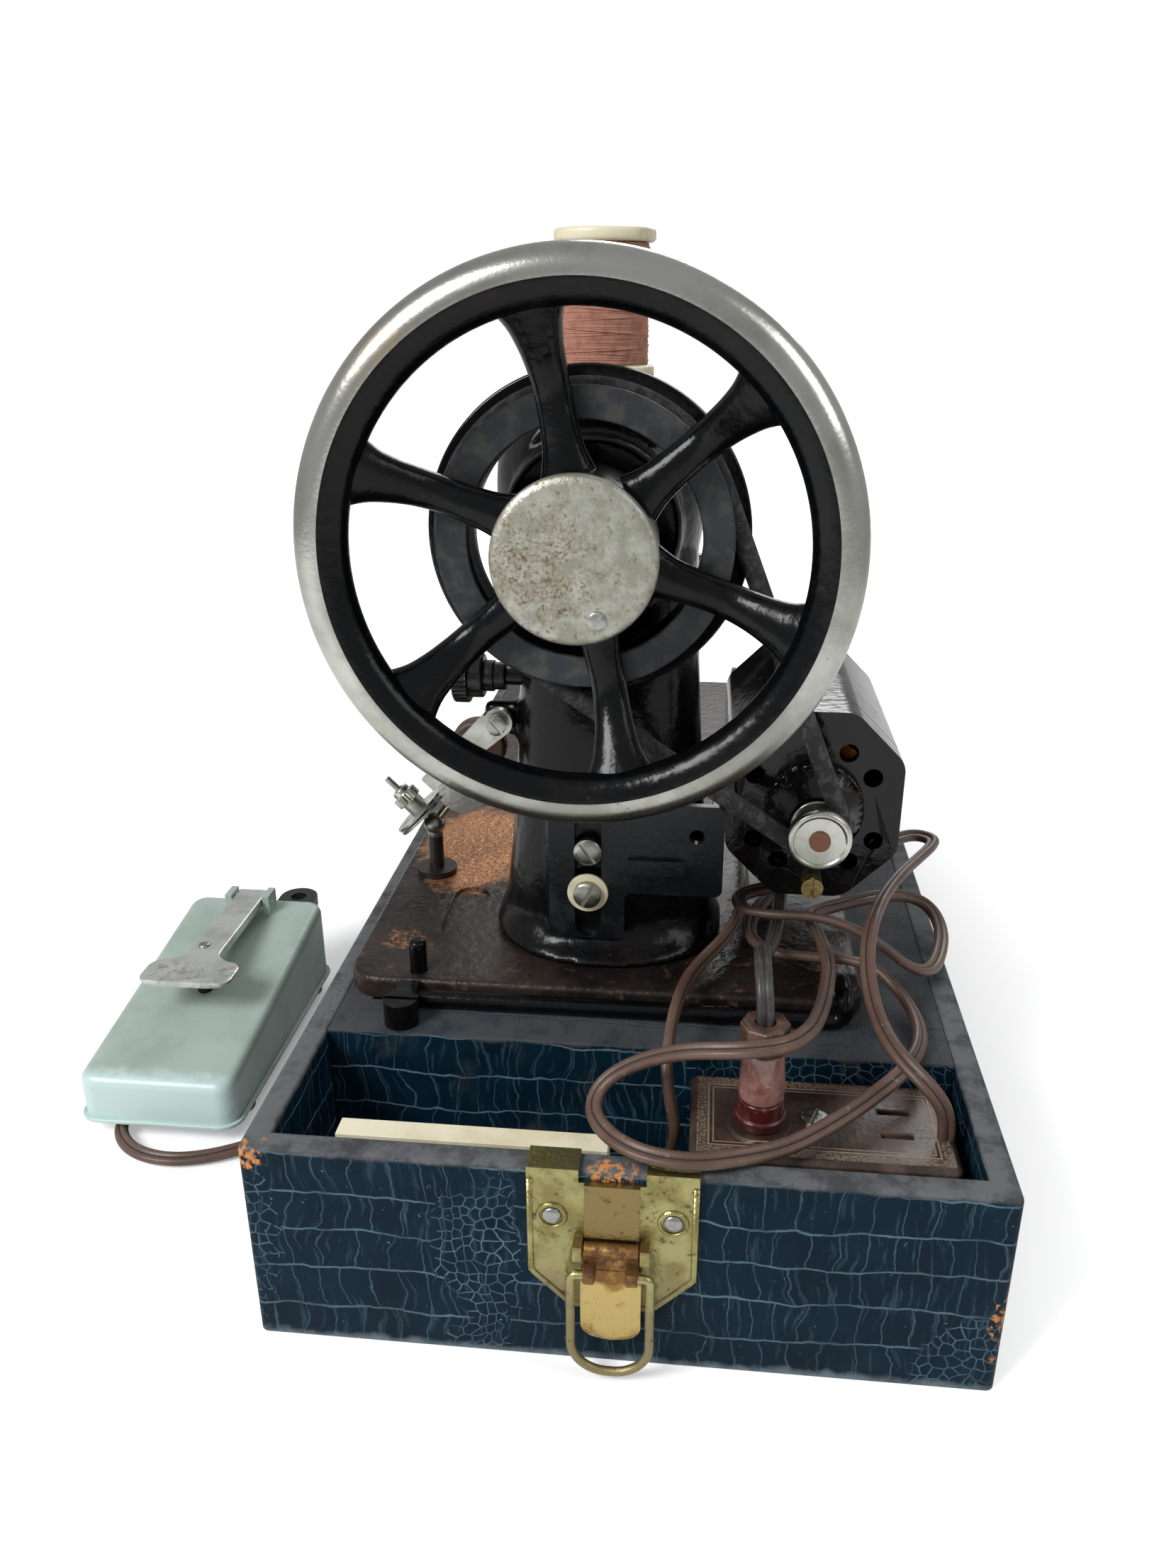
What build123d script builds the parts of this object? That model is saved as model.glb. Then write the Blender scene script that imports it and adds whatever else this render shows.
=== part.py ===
from build123d import *
import os
from math import acos, atan2, cos, degrees, hypot, pi, radians, sin, tan

# A portable sewing machine standing in the open lower half of its carrying case, with its
# electric motor, its leads and its foot controller beside it. Millimetres throughout.
# X runs to the right as seen from the handwheel, Y along the case away from the handwheel,
# Z up. The origin is the middle of the case's underside.

# Case
CASE_WIDTH = 218.0
CASE_LENGTH = 450.0
CASE_HEIGHT = 69.0
CASE_WALL = 8.0
CASE_FLOOR = 6.0
TRAY_LENGTH = 52.0
PARTITION = 20.0
RAIL_HEIGHT = 12.0
LEDGE = 10.0
DECK_WIDTH = 31.0

# Latch on the near wall
LATCH_X = -1.5
LATCH_WIDTH = 48.0
LATCH_SHEET = 1.2
LATCH_FOOT_Z = 21.5
LATCH_CUT = 12.0
LATCH_FOLD = 8.0
RIVET_RADIUS = 2.8
RIVET_SHANK = 1.8
RIVET_HEAD = 0.9
RIVET_SPREAD = 34.0
RIVET_Z = 54.0
LATCH_PIN_Z = 45.0
LATCH_PIN_RADIUS = 1.5
LATCH_PIN_STAND = 3.4
LEAF_WIDTH = 15.5
LEAF_SHEET = 1.4
KNUCKLE = 3.0
LATCH_NOTCH = 18.8
LATCH_NOTCH_DEPTH = 3.0
STRAP_SHEET = 1.2
STRAP_ABOVE_PIN = 3.0
TONGUE_WIDTH = 17.0
TONGUE_END_Z = 12.0
BAIL_Z = 39.0
BAIL_WIDTH = 20.0
BAIL_DROP = 35.5
BAIL_WIRE = 1.3
BAIL_STAND = 3.4
BAIL_LUG = 3.5
BAIL_HOOKED = 3.2
BAIL_ROUND = 10.4
BAIL_BEND = 2.0

# Tray fittings
BLOCK_LENGTH = 78.0
BLOCK_DEPTH = 40.0
BLOCK_TOP_Z = 63.0
BLOCK_RIGHT_GAP = 4.0
BLOCK_FRONT_GAP = 9.0
SOCKET_WIDTH = 9.0
SOCKET_DEPTH = 10.0
PLUG_FROM_BLOCK_LEFT = 20.7
SOCKET_ROW = 5.5
SOCKET_SLIT = 2.0
SOCKET_FROM_RIGHT = 17.0
SCREW_FROM_PLUG = 16.7
BLOCK_SCREW = 4.2
BLOCK_SCREW_HEAD = 1.8
BLOCK_SCREW_SHANK = 2.0
SCREW_SLOT = 1.0
PLUG_OFF_MIDDLE = 4.0
PLUG_SPIGOT = 5.0
PLUG_RADIUS = 7.0
PLUG_HEIGHT = 27.0
PLUG_STRAIGHT = 10.0
PLUG_RIM = 2.5
PLUG_RIM_HEIGHT = 1.0
COLLAR_RADIUS = 7.4
COLLAR_HEIGHT = 8.0
CARD_LENGTH = 80.0
CARD_THICK = 7.5
CARD_HEIGHT = 59.7
CARD_SIDE_GAP = 17.0
CARD_FRONT_GAP = 4.5

# Machine bed
BED_WIDTH = 176.0
BED_LENGTH = 354.0
BED_THICK = 8.0
BED_WEB = 5.0
BED_RIM = 6.5
BED_CORNER = 12.0
BED_EDGE = 2.0

# Hold-down bar in front of the bed, and its turning post
BAR_RADIUS = 3.0
BAR_LEFT_X = -84.0
BAR_RIGHT_X = 68.0
BAR_BEND = 6.0
POST_X = -77.5
POST_RADIUS = 5.8
POST_SLOT = 1.6

# Arm, pillar and head
SHAFT_X = -17.5
SHAFT_ABOVE_BED = 149.4
CASTING_WALL = 7.0
PILLAR_X = -14.0
PILLAR_Y = -91.0
ARM_TOP = 187.0
BOSS_RADIUS = 28.0
BOSS_LENGTH = 13.0
HEAD_START_Y = 135.0
HEAD_LENGTH = 50.0
HEAD_WIDTH = 49.0
HEAD_BOTTOM = 53.0
HEAD_TOP = 171.0
HEAD_FLOOR = 6.0
HEAD_ROOF = 8.0
HEAD_WALL = 5.0
HEAD_CORNER = 11.0
HEAD_SHOULDER = 12.0
GUIDE_LENGTH = 10.0
GUIDE_WALL = 3.0
FACE_PLATE = 2.5

# Running parts
SHAFT_RADIUS = 6.5
CRANK_DISC = 10.8
BUSH_WALL = 2.5
RUN = 0.05
NEEDLE_Y = 155.0
BAR_SIZE = 3.2
NEEDLE_RADIUS = 0.6
NEEDLE_LENGTH = 26.0
NEEDLE_BAR_LENGTH = 122.0
NEEDLE_REST = 8.0
PRESSER_BACK = 16.0
SPOOL_Y = -80.0
SPOOL_RADIUS = 16.0
SPOOL_HEIGHT = 44.0
SPOOL_FLANGE = 4.0
SPOOL_BARREL = 12.8
SPOOL_LIFT = 4.0
PIN_BASE = 9.0
PIN_SINK = 2.0
PIN_RADIUS = 2.5
PIN_SHORT = 3.0
THREAD_RADIUS = 0.48
THREAD_LOOPS = 24
THREAD_PITCH = 1.44

# Handwheel, belt and motor
WHEEL_RADIUS = 78.7
RIM_RADIUS = 7.0
RIM_Y = -165.0
SPOKES = 6
SPOKE_START = -19.3
HUB_RADIUS = 22.0
CLUTCH_RADIUS = 23.0
CLUTCH_THICK = 4.5
CLUTCH_SCREW_RADIUS = 2.6
BELT_Y = -138.0
BELT_RADIUS = 3.0
BELT_GAP = 0.3
BELT_ON_WHEEL = 42.5
BELT_ON_MOTOR = 8.0
RING_INNER = 34.2
MOTOR_X = 56.0
MOTOR_ABOVE_BED = 58.5
MOTOR_WIDTH = 57.5
MOTOR_HEIGHT = 66.0
MOTOR_CORNER = 17.0
MOTOR_FRONT_Y = -118.0
END_PLATE = 12.0
MOTOR_LENGTH = 81.0
MOTOR_BORE = 20.6
MOTOR_SHAFT = 3.3
DOME_LENGTH = 14.0

# Foot controller on the floor beside the case
CONTROLLER_X = -178.5
CONTROLLER_WIDTH = 60.0
CONTROLLER_FRONT_Y = -142.0
CONTROLLER_LENGTH = 117.0
CONTROLLER_LOW = 25.0
CONTROLLER_HIGH = 42.0
CONTROLLER_FOOT = 6.5
CONTROLLER_SHEET = 1.5
PEDAL_HINGE_Y = -35.0
PEDAL_Z = 46.0
PEDAL_WIDTH = 13.0
PEDAL_PIN = 2.0
PEDAL_EAR = 3.4
PEDAL_SHEET = 2.0
PAD_WIDTH = 37.0
PAD_LENGTH = 17.0
PAD_FRONT_Y = -109.0
PLUNGER_Y = -89.0
PLUNGER_RADIUS = 3.0

# Cords
CORD_RADIUS = 2.6
ARC_SHARE = 0.45
COIL_X = 10.0
COIL_Y = 252.2
COIL_RADIUS = 34.8
COIL_PITCH = 5.8
COIL_TURNS_DOWN = 2
RELIEF_LENGTH = 27.0

SEAT = 0.3

# Places worked out from the sizes above
CASE_FRONT = -CASE_LENGTH / 2
CASE_BACK = CASE_LENGTH / 2
INNER_X = CASE_WIDTH / 2 - CASE_WALL
INNER_FRONT = CASE_FRONT + CASE_WALL
INNER_BACK = CASE_BACK - CASE_WALL
PARTITION_FRONT = INNER_FRONT + TRAY_LENGTH
PARTITION_BACK = PARTITION_FRONT + PARTITION
BED_LEFT = -INNER_X + SEAT
BED_RIGHT = BED_LEFT + BED_WIDTH
BED_FRONT = PARTITION_BACK + 0.5
BED_BACK = BED_FRONT + BED_LENGTH
BED_X = (BED_LEFT + BED_RIGHT) / 2
BED_Y = (BED_FRONT + BED_BACK) / 2
BED_Z = CASE_HEIGHT + BED_THICK
SHAFT_Z = BED_Z + SHAFT_ABOVE_BED
MOTOR_Z = BED_Z + MOTOR_ABOVE_BED
ARM_TOP_Z = BED_Z + ARM_TOP
ARM_NEAR_Y = -125.0
HEAD_END_Y = HEAD_START_Y + HEAD_LENGTH
HEAD_BOTTOM_Z = BED_Z + HEAD_BOTTOM
HEAD_TOP_Z = BED_Z + HEAD_TOP
PRESSER_X = SHAFT_X + PRESSER_BACK
CONTROLLER_BACK_Y = CONTROLLER_FRONT_Y + CONTROLLER_LENGTH


def front_plane(y, x=0.0, z=0.0):
    """Plane facing the handwheel end: its x is X and its y is Z."""
    return Plane(origin=(x, y, z), x_dir=(1, 0, 0), z_dir=(0, -1, 0))


def side_plane(x, y=0.0, z=0.0):
    """Plane facing right: its x is Y and its y is Z."""
    return Plane(origin=(x, y, z), x_dir=(0, 1, 0), z_dir=(1, 0, 0))


def block(x, y, z, mode=Mode.ADD):
    """Box between two corners, each axis given as its low and high value."""
    with Locations(((x[0] + x[1]) / 2, (y[0] + y[1]) / 2, (z[0] + z[1]) / 2)):
        Box(x[1] - x[0], y[1] - y[0], z[1] - z[0], mode=mode)


def drum(plane, radius, length, mode=Mode.ADD):
    """Cylinder that stands on a plane."""
    with Locations(plane):
        Cylinder(radius, length, align=(Align.CENTER, Align.CENTER, Align.MIN), mode=mode)


def drum_y(x, z, y_low, y_high, radius, mode=Mode.ADD):
    """Cylinder along Y between two places."""
    drum(front_plane(y_high, x, z), radius, y_high - y_low, mode)


def turned(x, z, profile, mode=Mode.ADD):
    """Solid turned about an axis along Y, from (y, radius) corners."""
    with BuildSketch(side_plane(x)) as outline:
        with BuildLine():
            Polyline([(y, z + r) for y, r in profile], close=True)
        make_face()
    revolve(outline.sketch, axis=Axis((x, 0, z), (0, 1, 0)), mode=mode)


# Case
with BuildPart() as case_walls:
    with BuildSketch(Plane.XY):
        Rectangle(CASE_WIDTH, CASE_LENGTH)
        Rectangle(CASE_WIDTH - 2 * CASE_WALL, CASE_LENGTH - 2 * CASE_WALL, mode=Mode.SUBTRACT)
    extrude(amount=CASE_HEIGHT)
    chamfer(case_walls.edges().group_by(Axis.Z)[-1], 0.8)

with BuildPart() as case_floor:
    with BuildSketch(Plane.XY):
        Rectangle(CASE_WIDTH - 2 * CASE_WALL, CASE_LENGTH - 2 * CASE_WALL)
    extrude(amount=CASE_FLOOR)

with BuildPart() as tray_partition:
    block((-INNER_X, INNER_X), (PARTITION_FRONT, PARTITION_BACK), (CASE_FLOOR, CASE_HEIGHT))

with BuildPart() as bed_rails:
    with BuildSketch(Plane.XY.offset(CASE_HEIGHT - RAIL_HEIGHT)):
        with BuildLine():
            Polyline(
                (-INNER_X, PARTITION_BACK),
                (-INNER_X + LEDGE, PARTITION_BACK),
                (-INNER_X + LEDGE, INNER_BACK - LEDGE),
                (INNER_X - DECK_WIDTH, INNER_BACK - LEDGE),
                (INNER_X - DECK_WIDTH, PARTITION_BACK),
                (INNER_X, PARTITION_BACK),
                (INNER_X, INNER_BACK),
                (-INNER_X, INNER_BACK),
                close=True,
            )
        make_face()
    extrude(amount=RAIL_HEIGHT)

# Latch: a plate folded over the rim, a lever on a pin, and a wire bail on the lever
LATCH_FACE = CASE_FRONT - LATCH_SHEET
LATCH_NOTCH_Z = CASE_HEIGHT - LATCH_NOTCH_DEPTH
LATCH_PIN_Y = LATCH_FACE - LATCH_PIN_STAND + 1.0
with BuildPart() as latch_plate:
    with BuildSketch(front_plane(CASE_FRONT, LATCH_X)):
        with BuildLine():
            Polyline(
                (-LATCH_WIDTH / 2, CASE_HEIGHT + LATCH_SHEET),
                (-LATCH_WIDTH / 2, LATCH_FOOT_Z + LATCH_CUT),
                (-LATCH_WIDTH / 2 + LATCH_CUT, LATCH_FOOT_Z),
                (LATCH_WIDTH / 2 - LATCH_CUT, LATCH_FOOT_Z),
                (LATCH_WIDTH / 2, LATCH_FOOT_Z + LATCH_CUT),
                (LATCH_WIDTH / 2, CASE_HEIGHT + LATCH_SHEET),
                close=True,
            )
        make_face()
        with Locations((-RIVET_SPREAD / 2, RIVET_Z), (RIVET_SPREAD / 2, RIVET_Z)):
            Circle(RIVET_SHANK, mode=Mode.SUBTRACT)
    extrude(amount=LATCH_SHEET)
    block(
        (LATCH_X - LATCH_WIDTH / 2, LATCH_X + LATCH_WIDTH / 2),
        (CASE_FRONT, CASE_FRONT + LATCH_FOLD),
        (CASE_HEIGHT, CASE_HEIGHT + LATCH_SHEET),
    )
    block(
        (LATCH_X - LATCH_NOTCH / 2, LATCH_X + LATCH_NOTCH / 2),
        (LATCH_FACE - 1.0, CASE_FRONT + LATCH_FOLD + 1.0),
        (LATCH_NOTCH_Z, CASE_HEIGHT + LATCH_SHEET + 1.0),
        Mode.SUBTRACT,
    )
    block(
        (LATCH_X - LEAF_WIDTH / 2, LATCH_X + LEAF_WIDTH / 2),
        (LATCH_FACE - STRAP_SHEET, LATCH_FACE),
        (LATCH_PIN_Z + STRAP_ABOVE_PIN, LATCH_NOTCH_Z),
    )
    for side in (-1, 1):
        ear = sorted(LATCH_X + side * (LEAF_WIDTH / 2 + reach) for reach in (0.4, KNUCKLE))
        block(
            ear,
            (LATCH_PIN_Y - LATCH_PIN_RADIUS - 1.0, CASE_FRONT),
            (LATCH_PIN_Z - LATCH_PIN_RADIUS - 1.0, LATCH_PIN_Z + LATCH_PIN_RADIUS + 1.0),
        )
    pin_bore = LEAF_WIDTH + 2 * KNUCKLE + 2
    drum(
        side_plane(LATCH_X - pin_bore / 2, LATCH_PIN_Y, LATCH_PIN_Z),
        LATCH_PIN_RADIUS + RUN,
        pin_bore,
        Mode.SUBTRACT,
    )

with BuildPart() as latch_rivets:
    for side in (-1, 1):
        rivet_x = LATCH_X + side * RIVET_SPREAD / 2
        drum_y(rivet_x, RIVET_Z, LATCH_FACE - RIVET_HEAD, LATCH_FACE, RIVET_RADIUS)
        drum_y(rivet_x, RIVET_Z, LATCH_FACE, CASE_FRONT, RIVET_SHANK - RUN)

with BuildPart() as latch_lever:
    drum(
        side_plane(LATCH_X - LEAF_WIDTH / 2 - KNUCKLE, LATCH_PIN_Y, LATCH_PIN_Z),
        LATCH_PIN_RADIUS,
        LEAF_WIDTH + 2 * KNUCKLE,
    )
    drum(
        side_plane(LATCH_X - LEAF_WIDTH / 2, LATCH_PIN_Y, LATCH_PIN_Z),
        LATCH_PIN_RADIUS + LEAF_SHEET / 2,
        LEAF_WIDTH,
    )
    leaf = (LATCH_PIN_Y - LEAF_SHEET / 2, LATCH_PIN_Y + LEAF_SHEET / 2)
    block((LATCH_X - LEAF_WIDTH / 2, LATCH_X + LEAF_WIDTH / 2), leaf, (BAIL_Z - 5.0, LATCH_PIN_Z))
    block((LATCH_X - TONGUE_WIDTH / 2, LATCH_X + TONGUE_WIDTH / 2), leaf, (TONGUE_END_Z, BAIL_Z))
    BAIL_Y = LATCH_PIN_Y - BAIL_STAND
    for side in (-1, 1):
        lug = sorted((LATCH_X + side * (LEAF_WIDTH / 2 - BAIL_LUG), LATCH_X + side * LEAF_WIDTH / 2))
        block(
            lug,
            (BAIL_Y - BAIL_WIRE - 1.0, LATCH_PIN_Y),
            (BAIL_Z - BAIL_WIRE - 1.0, BAIL_Z + BAIL_WIRE + 1.0),
        )
    drum(
        side_plane(LATCH_X - LEAF_WIDTH / 2 - 1.0, BAIL_Y, BAIL_Z),
        BAIL_WIRE + RUN,
        LEAF_WIDTH + 2.0,
        Mode.SUBTRACT,
    )

with BuildPart() as latch_bail:
    half = BAIL_WIDTH / 2 + BAIL_WIRE
    with BuildLine() as bail_path:
        FilletPolyline(
            (LATCH_X - LEAF_WIDTH / 2 + BAIL_HOOKED, BAIL_Y, BAIL_Z),
            (LATCH_X - half, BAIL_Y, BAIL_Z),
            (LATCH_X - half, BAIL_Y, BAIL_Z - BAIL_DROP),
            (LATCH_X + half, BAIL_Y, BAIL_Z - BAIL_DROP),
            (LATCH_X + half, BAIL_Y, BAIL_Z),
            (LATCH_X + LEAF_WIDTH / 2 - BAIL_HOOKED, BAIL_Y, BAIL_Z),
            radius=[BAIL_BEND, BAIL_ROUND, BAIL_ROUND, BAIL_BEND],
        )
    with BuildSketch(Plane(origin=bail_path.line @ 0, z_dir=bail_path.line % 0)):
        Circle(BAIL_WIRE)
    sweep()

# Tray fittings
BLOCK_RIGHT = INNER_X - BLOCK_RIGHT_GAP
BLOCK_LEFT = BLOCK_RIGHT - BLOCK_LENGTH
BLOCK_FRONT = INNER_FRONT + BLOCK_FRONT_GAP
BLOCK_BACK = BLOCK_FRONT + BLOCK_DEPTH
BLOCK_Y = (BLOCK_FRONT + BLOCK_BACK) / 2
PLUG_X = BLOCK_LEFT + PLUG_FROM_BLOCK_LEFT
PLUG_Y = BLOCK_Y - PLUG_OFF_MIDDLE
BLOCK_SCREW_X = PLUG_X + SCREW_FROM_PLUG
SOCKET_X = BLOCK_RIGHT - SOCKET_FROM_RIGHT
with BuildPart() as terminal_block:
    block((BLOCK_LEFT, BLOCK_RIGHT), (BLOCK_FRONT, BLOCK_BACK), (CASE_FLOOR + SEAT, BLOCK_TOP_Z))
    fillet(terminal_block.edges().filter_by(Axis.Z), 3.0)
    chamfer(terminal_block.faces().sort_by(Axis.Z)[-1].edges(), 1.5)
    drum(Plane(origin=(PLUG_X, PLUG_Y, BLOCK_TOP_Z)), PLUG_RADIUS + PLUG_RIM, PLUG_RIM_HEIGHT)
    drum(
        Plane(origin=(PLUG_X, PLUG_Y, BLOCK_TOP_Z - SOCKET_DEPTH), z_dir=(0, 0, 1)),
        PLUG_SPIGOT,
        SOCKET_DEPTH + 2.0,
        Mode.SUBTRACT,
    )
    for row in (-1, 1):
        block(
            (SOCKET_X - SOCKET_WIDTH / 2, SOCKET_X + SOCKET_WIDTH / 2),
            (BLOCK_Y + row * SOCKET_ROW - SOCKET_SLIT / 2, BLOCK_Y + row * SOCKET_ROW + SOCKET_SLIT / 2),
            (BLOCK_TOP_Z - SOCKET_DEPTH, BLOCK_TOP_Z + 1.0),
            Mode.SUBTRACT,
        )
    drum(
        Plane(origin=(BLOCK_SCREW_X, BLOCK_Y, BLOCK_TOP_Z - SOCKET_DEPTH), z_dir=(0, 0, 1)),
        BLOCK_SCREW_SHANK + RUN,
        SOCKET_DEPTH + 1.0,
        Mode.SUBTRACT,
    )

with BuildPart() as block_screw:
    drum(Plane(origin=(BLOCK_SCREW_X, BLOCK_Y, BLOCK_TOP_Z)), BLOCK_SCREW, BLOCK_SCREW_HEAD)
    screw_end = BLOCK_TOP_Z - SOCKET_DEPTH + 1.0
    drum(Plane(origin=(BLOCK_SCREW_X, BLOCK_Y, screw_end)), BLOCK_SCREW_SHANK, SOCKET_DEPTH - 1.0)
    block(
        (BLOCK_SCREW_X - 5.0, BLOCK_SCREW_X + 5.0),
        (BLOCK_Y - SCREW_SLOT / 2, BLOCK_Y + SCREW_SLOT / 2),
        (BLOCK_TOP_Z + BLOCK_SCREW_HEAD / 2, BLOCK_TOP_Z + BLOCK_SCREW_HEAD + 0.2),
        Mode.SUBTRACT,
    )

with BuildPart() as instruction_card:
    block(
        (-INNER_X + CARD_SIDE_GAP, -INNER_X + CARD_SIDE_GAP + CARD_LENGTH),
        (INNER_FRONT + CARD_FRONT_GAP, INNER_FRONT + CARD_FRONT_GAP + CARD_THICK),
        (CASE_FLOOR + SEAT, CASE_FLOOR + SEAT + CARD_HEIGHT),
    )

PLUG_BASE_Z = BLOCK_TOP_Z + PLUG_RIM_HEIGHT + SEAT
with BuildPart() as connector_plug:
    plug_foot = Plane(origin=(PLUG_X, PLUG_Y, PLUG_BASE_Z), z_dir=(0, 0, 1))
    drum(plug_foot, PLUG_RADIUS, PLUG_STRAIGHT)
    drum(plug_foot.offset(2.5), PLUG_RADIUS + 0.6, 1.2)
    with BuildSketch(plug_foot.offset(PLUG_STRAIGHT)):
        Circle(PLUG_RADIUS)
    with BuildSketch(plug_foot.offset(PLUG_HEIGHT)):
        Circle(PLUG_RADIUS - 1.0)
    loft()
    drum(plug_foot.offset(PLUG_HEIGHT - 1.5), COLLAR_RADIUS, COLLAR_HEIGHT + 1.5)
    drum(plug_foot.offset(PLUG_HEIGHT), COLLAR_RADIUS - 1.4, COLLAR_HEIGHT, Mode.SUBTRACT)
    drum(plug_foot.offset(-SOCKET_DEPTH + 1.0), PLUG_SPIGOT - RUN, SOCKET_DEPTH)

# Bed
HOOK_Z = 38.0
HOOK_SHAFT = 5.0
HOOK_RADIUS = 15.0
HANGER_LENGTH = 10.0
HANGERS = (-40.0, 100.0)
FEED_ROWS = (-5.0, 5.0)
PLATE_WIDTH = 41.0
PLATE_DEPTH = 2.0
PLATE_START = NEEDLE_Y - 15.0
PLATE_LENGTH = 32.0
PLATE_X = (SHAFT_X - PLATE_WIDTH / 2, SHAFT_X + PLATE_WIDTH / 2)
WINDOW_X = (SHAFT_X - 14.5, SHAFT_X + 14.5)
WINDOW_Y = (PLATE_START + 5.0, BED_BACK - 10.0)
CORNER_PIN = (BED_LEFT + 24.7, BED_FRONT + 6.5, BED_Z - 3.0)
CORNER_PIN_RADIUS = 3.0
CORNER_PIN_LENGTH = 15.0
INSET_SIZE = (39.0, 13.0)
INSET_DEPTH = 1.2
INSET_X = BED_LEFT + 32.2
INSET_Y = BED_FRONT + 50.5
with BuildPart() as bed:
    with BuildSketch(Plane(origin=(BED_X, BED_Y, CASE_HEIGHT))):
        RectangleRounded(BED_WIDTH, BED_LENGTH, BED_CORNER)
    extrude(amount=BED_THICK)
    fillet(bed.faces().sort_by(Axis.Z)[-1].edges(), BED_EDGE)
    with BuildSketch(Plane(origin=(BED_X, BED_Y, CASE_HEIGHT))):
        RectangleRounded(BED_WIDTH - 2 * BED_RIM, BED_LENGTH - 2 * BED_RIM, BED_CORNER - BED_RIM)
    extrude(amount=BED_THICK - BED_WEB, mode=Mode.SUBTRACT)
    with BuildSketch(Plane(origin=(INSET_X, INSET_Y, BED_Z))):
        SlotOverall(*INSET_SIZE, rotation=90)
    extrude(amount=-INSET_DEPTH, mode=Mode.SUBTRACT)
    block(PLATE_X, (PLATE_START, BED_BACK + 1.0), (BED_Z - PLATE_DEPTH, BED_Z + 1.0), Mode.SUBTRACT)
    block(WINDOW_X, WINDOW_Y, (CASE_HEIGHT - 1.0, BED_Z), Mode.SUBTRACT)
    for hanger in HANGERS:
        block(
            (SHAFT_X - 10.0, SHAFT_X + 10.0),
            (hanger, hanger + HANGER_LENGTH),
            (HOOK_Z - HOOK_SHAFT - 4.0, BED_Z - BED_WEB),
        )
        drum_y(SHAFT_X, HOOK_Z, hanger - 1.0, hanger + HANGER_LENGTH + 1.0, HOOK_SHAFT + RUN, Mode.SUBTRACT)
    drum(Plane(origin=CORNER_PIN), CORNER_PIN_RADIUS, 4.0, Mode.SUBTRACT)

with BuildPart() as corner_pin:
    drum(Plane(origin=CORNER_PIN), CORNER_PIN_RADIUS - RUN, CORNER_PIN_LENGTH)
    fillet(corner_pin.edges().sort_by(Axis.Z)[-1], 1.5)

with BuildPart() as throat_plate:
    block(
        (PLATE_X[0] + SEAT, PLATE_X[1] - SEAT),
        (PLATE_START + SEAT, PLATE_START + PLATE_LENGTH - SEAT),
        (BED_Z - PLATE_DEPTH, BED_Z),
    )
    for row in FEED_ROWS:
        block(
            (SHAFT_X - 12.0, SHAFT_X + 12.0),
            (NEEDLE_Y + row - 1.6, NEEDLE_Y + row + 1.6),
            (BED_Z - PLATE_DEPTH - 1.0, BED_Z + 1.0),
            Mode.SUBTRACT,
        )
    drum(Plane(origin=(SHAFT_X, NEEDLE_Y, BED_Z - PLATE_DEPTH - 1.0)), 1.4, 4.0, Mode.SUBTRACT)

with BuildPart() as slide_plate:
    block(
        (PLATE_X[0] + SEAT, PLATE_X[1] - SEAT),
        (PLATE_START + PLATE_LENGTH + SEAT, BED_BACK - 4.5),
        (BED_Z - PLATE_DEPTH + 0.05, BED_Z - 0.2),
    )

with BuildPart() as feed_dog:
    block(
        (SHAFT_X - 9.5, SHAFT_X + 9.5),
        (NEEDLE_Y - 7.0, NEEDLE_Y + 7.0),
        (BED_Z - 14.0, BED_Z - PLATE_DEPTH - 0.8),
    )
    for row in FEED_ROWS:
        block(
            (SHAFT_X - 9.5, SHAFT_X + 9.5),
            (NEEDLE_Y + row - 1.2, NEEDLE_Y + row + 1.2),
            (BED_Z - PLATE_DEPTH - 1.0, BED_Z - 0.2),
        )
    drum(Plane(origin=(SHAFT_X, NEEDLE_Y, BED_Z - 15.0)), 2.5, 16.0, Mode.SUBTRACT)

with BuildPart() as hook_shaft:
    drum_y(SHAFT_X, HOOK_Z, HANGERS[0] - 10.0, NEEDLE_Y - 12.0, HOOK_SHAFT)
    drum_y(SHAFT_X, HOOK_Z, NEEDLE_Y - 13.0, NEEDLE_Y + 7.0, HOOK_RADIUS)
    drum_y(SHAFT_X, HOOK_Z, NEEDLE_Y - 6.0, NEEDLE_Y + 8.0, HOOK_RADIUS - 2.5, Mode.SUBTRACT)

# Hold-down bar and its post
BAR_Y = BED_FRONT - BAR_RADIUS - 0.7
BAR_Z = CASE_HEIGHT + SEAT + BAR_RADIUS
with BuildPart() as hold_down_bar:
    with BuildLine() as bar_path:
        FilletPolyline(
            (BAR_LEFT_X, BAR_Y, BAR_Z),
            (BAR_RIGHT_X, BAR_Y, BAR_Z),
            (BAR_RIGHT_X, BAR_Y, BED_Z + SEAT + BAR_RADIUS),
            (BAR_RIGHT_X, BED_FRONT + 7.0, BED_Z + SEAT + BAR_RADIUS),
            radius=[3.9, 3.9],
        )
    with BuildSketch(Plane(origin=bar_path.line @ 0, z_dir=bar_path.line % 0)):
        Circle(BAR_RADIUS)
    sweep()

POST_Y = BAR_Y - BAR_RADIUS - POST_RADIUS - 1.0
with BuildPart() as bar_post:
    post_foot = Plane(origin=(POST_X, POST_Y, CASE_HEIGHT + 0.05))
    drum(post_foot, POST_RADIUS, BAR_Z + BAR_RADIUS + SEAT - CASE_HEIGHT)
    cap_z = BAR_Z + BAR_RADIUS + SEAT
    drum(Plane(origin=(POST_X, POST_Y, cap_z)), POST_RADIUS, 2.6)
    block((POST_X - 3.5, POST_X + 3.5), (POST_Y, BAR_Y + BAR_RADIUS), (cap_z, cap_z + 1.6))
    block(
        (POST_X - POST_RADIUS - 1.0, POST_X + POST_RADIUS + 1.0),
        (POST_Y - POST_SLOT / 2, POST_Y + POST_SLOT / 2),
        (cap_z + 1.0, cap_z + 3.0),
        Mode.SUBTRACT,
    )

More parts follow.
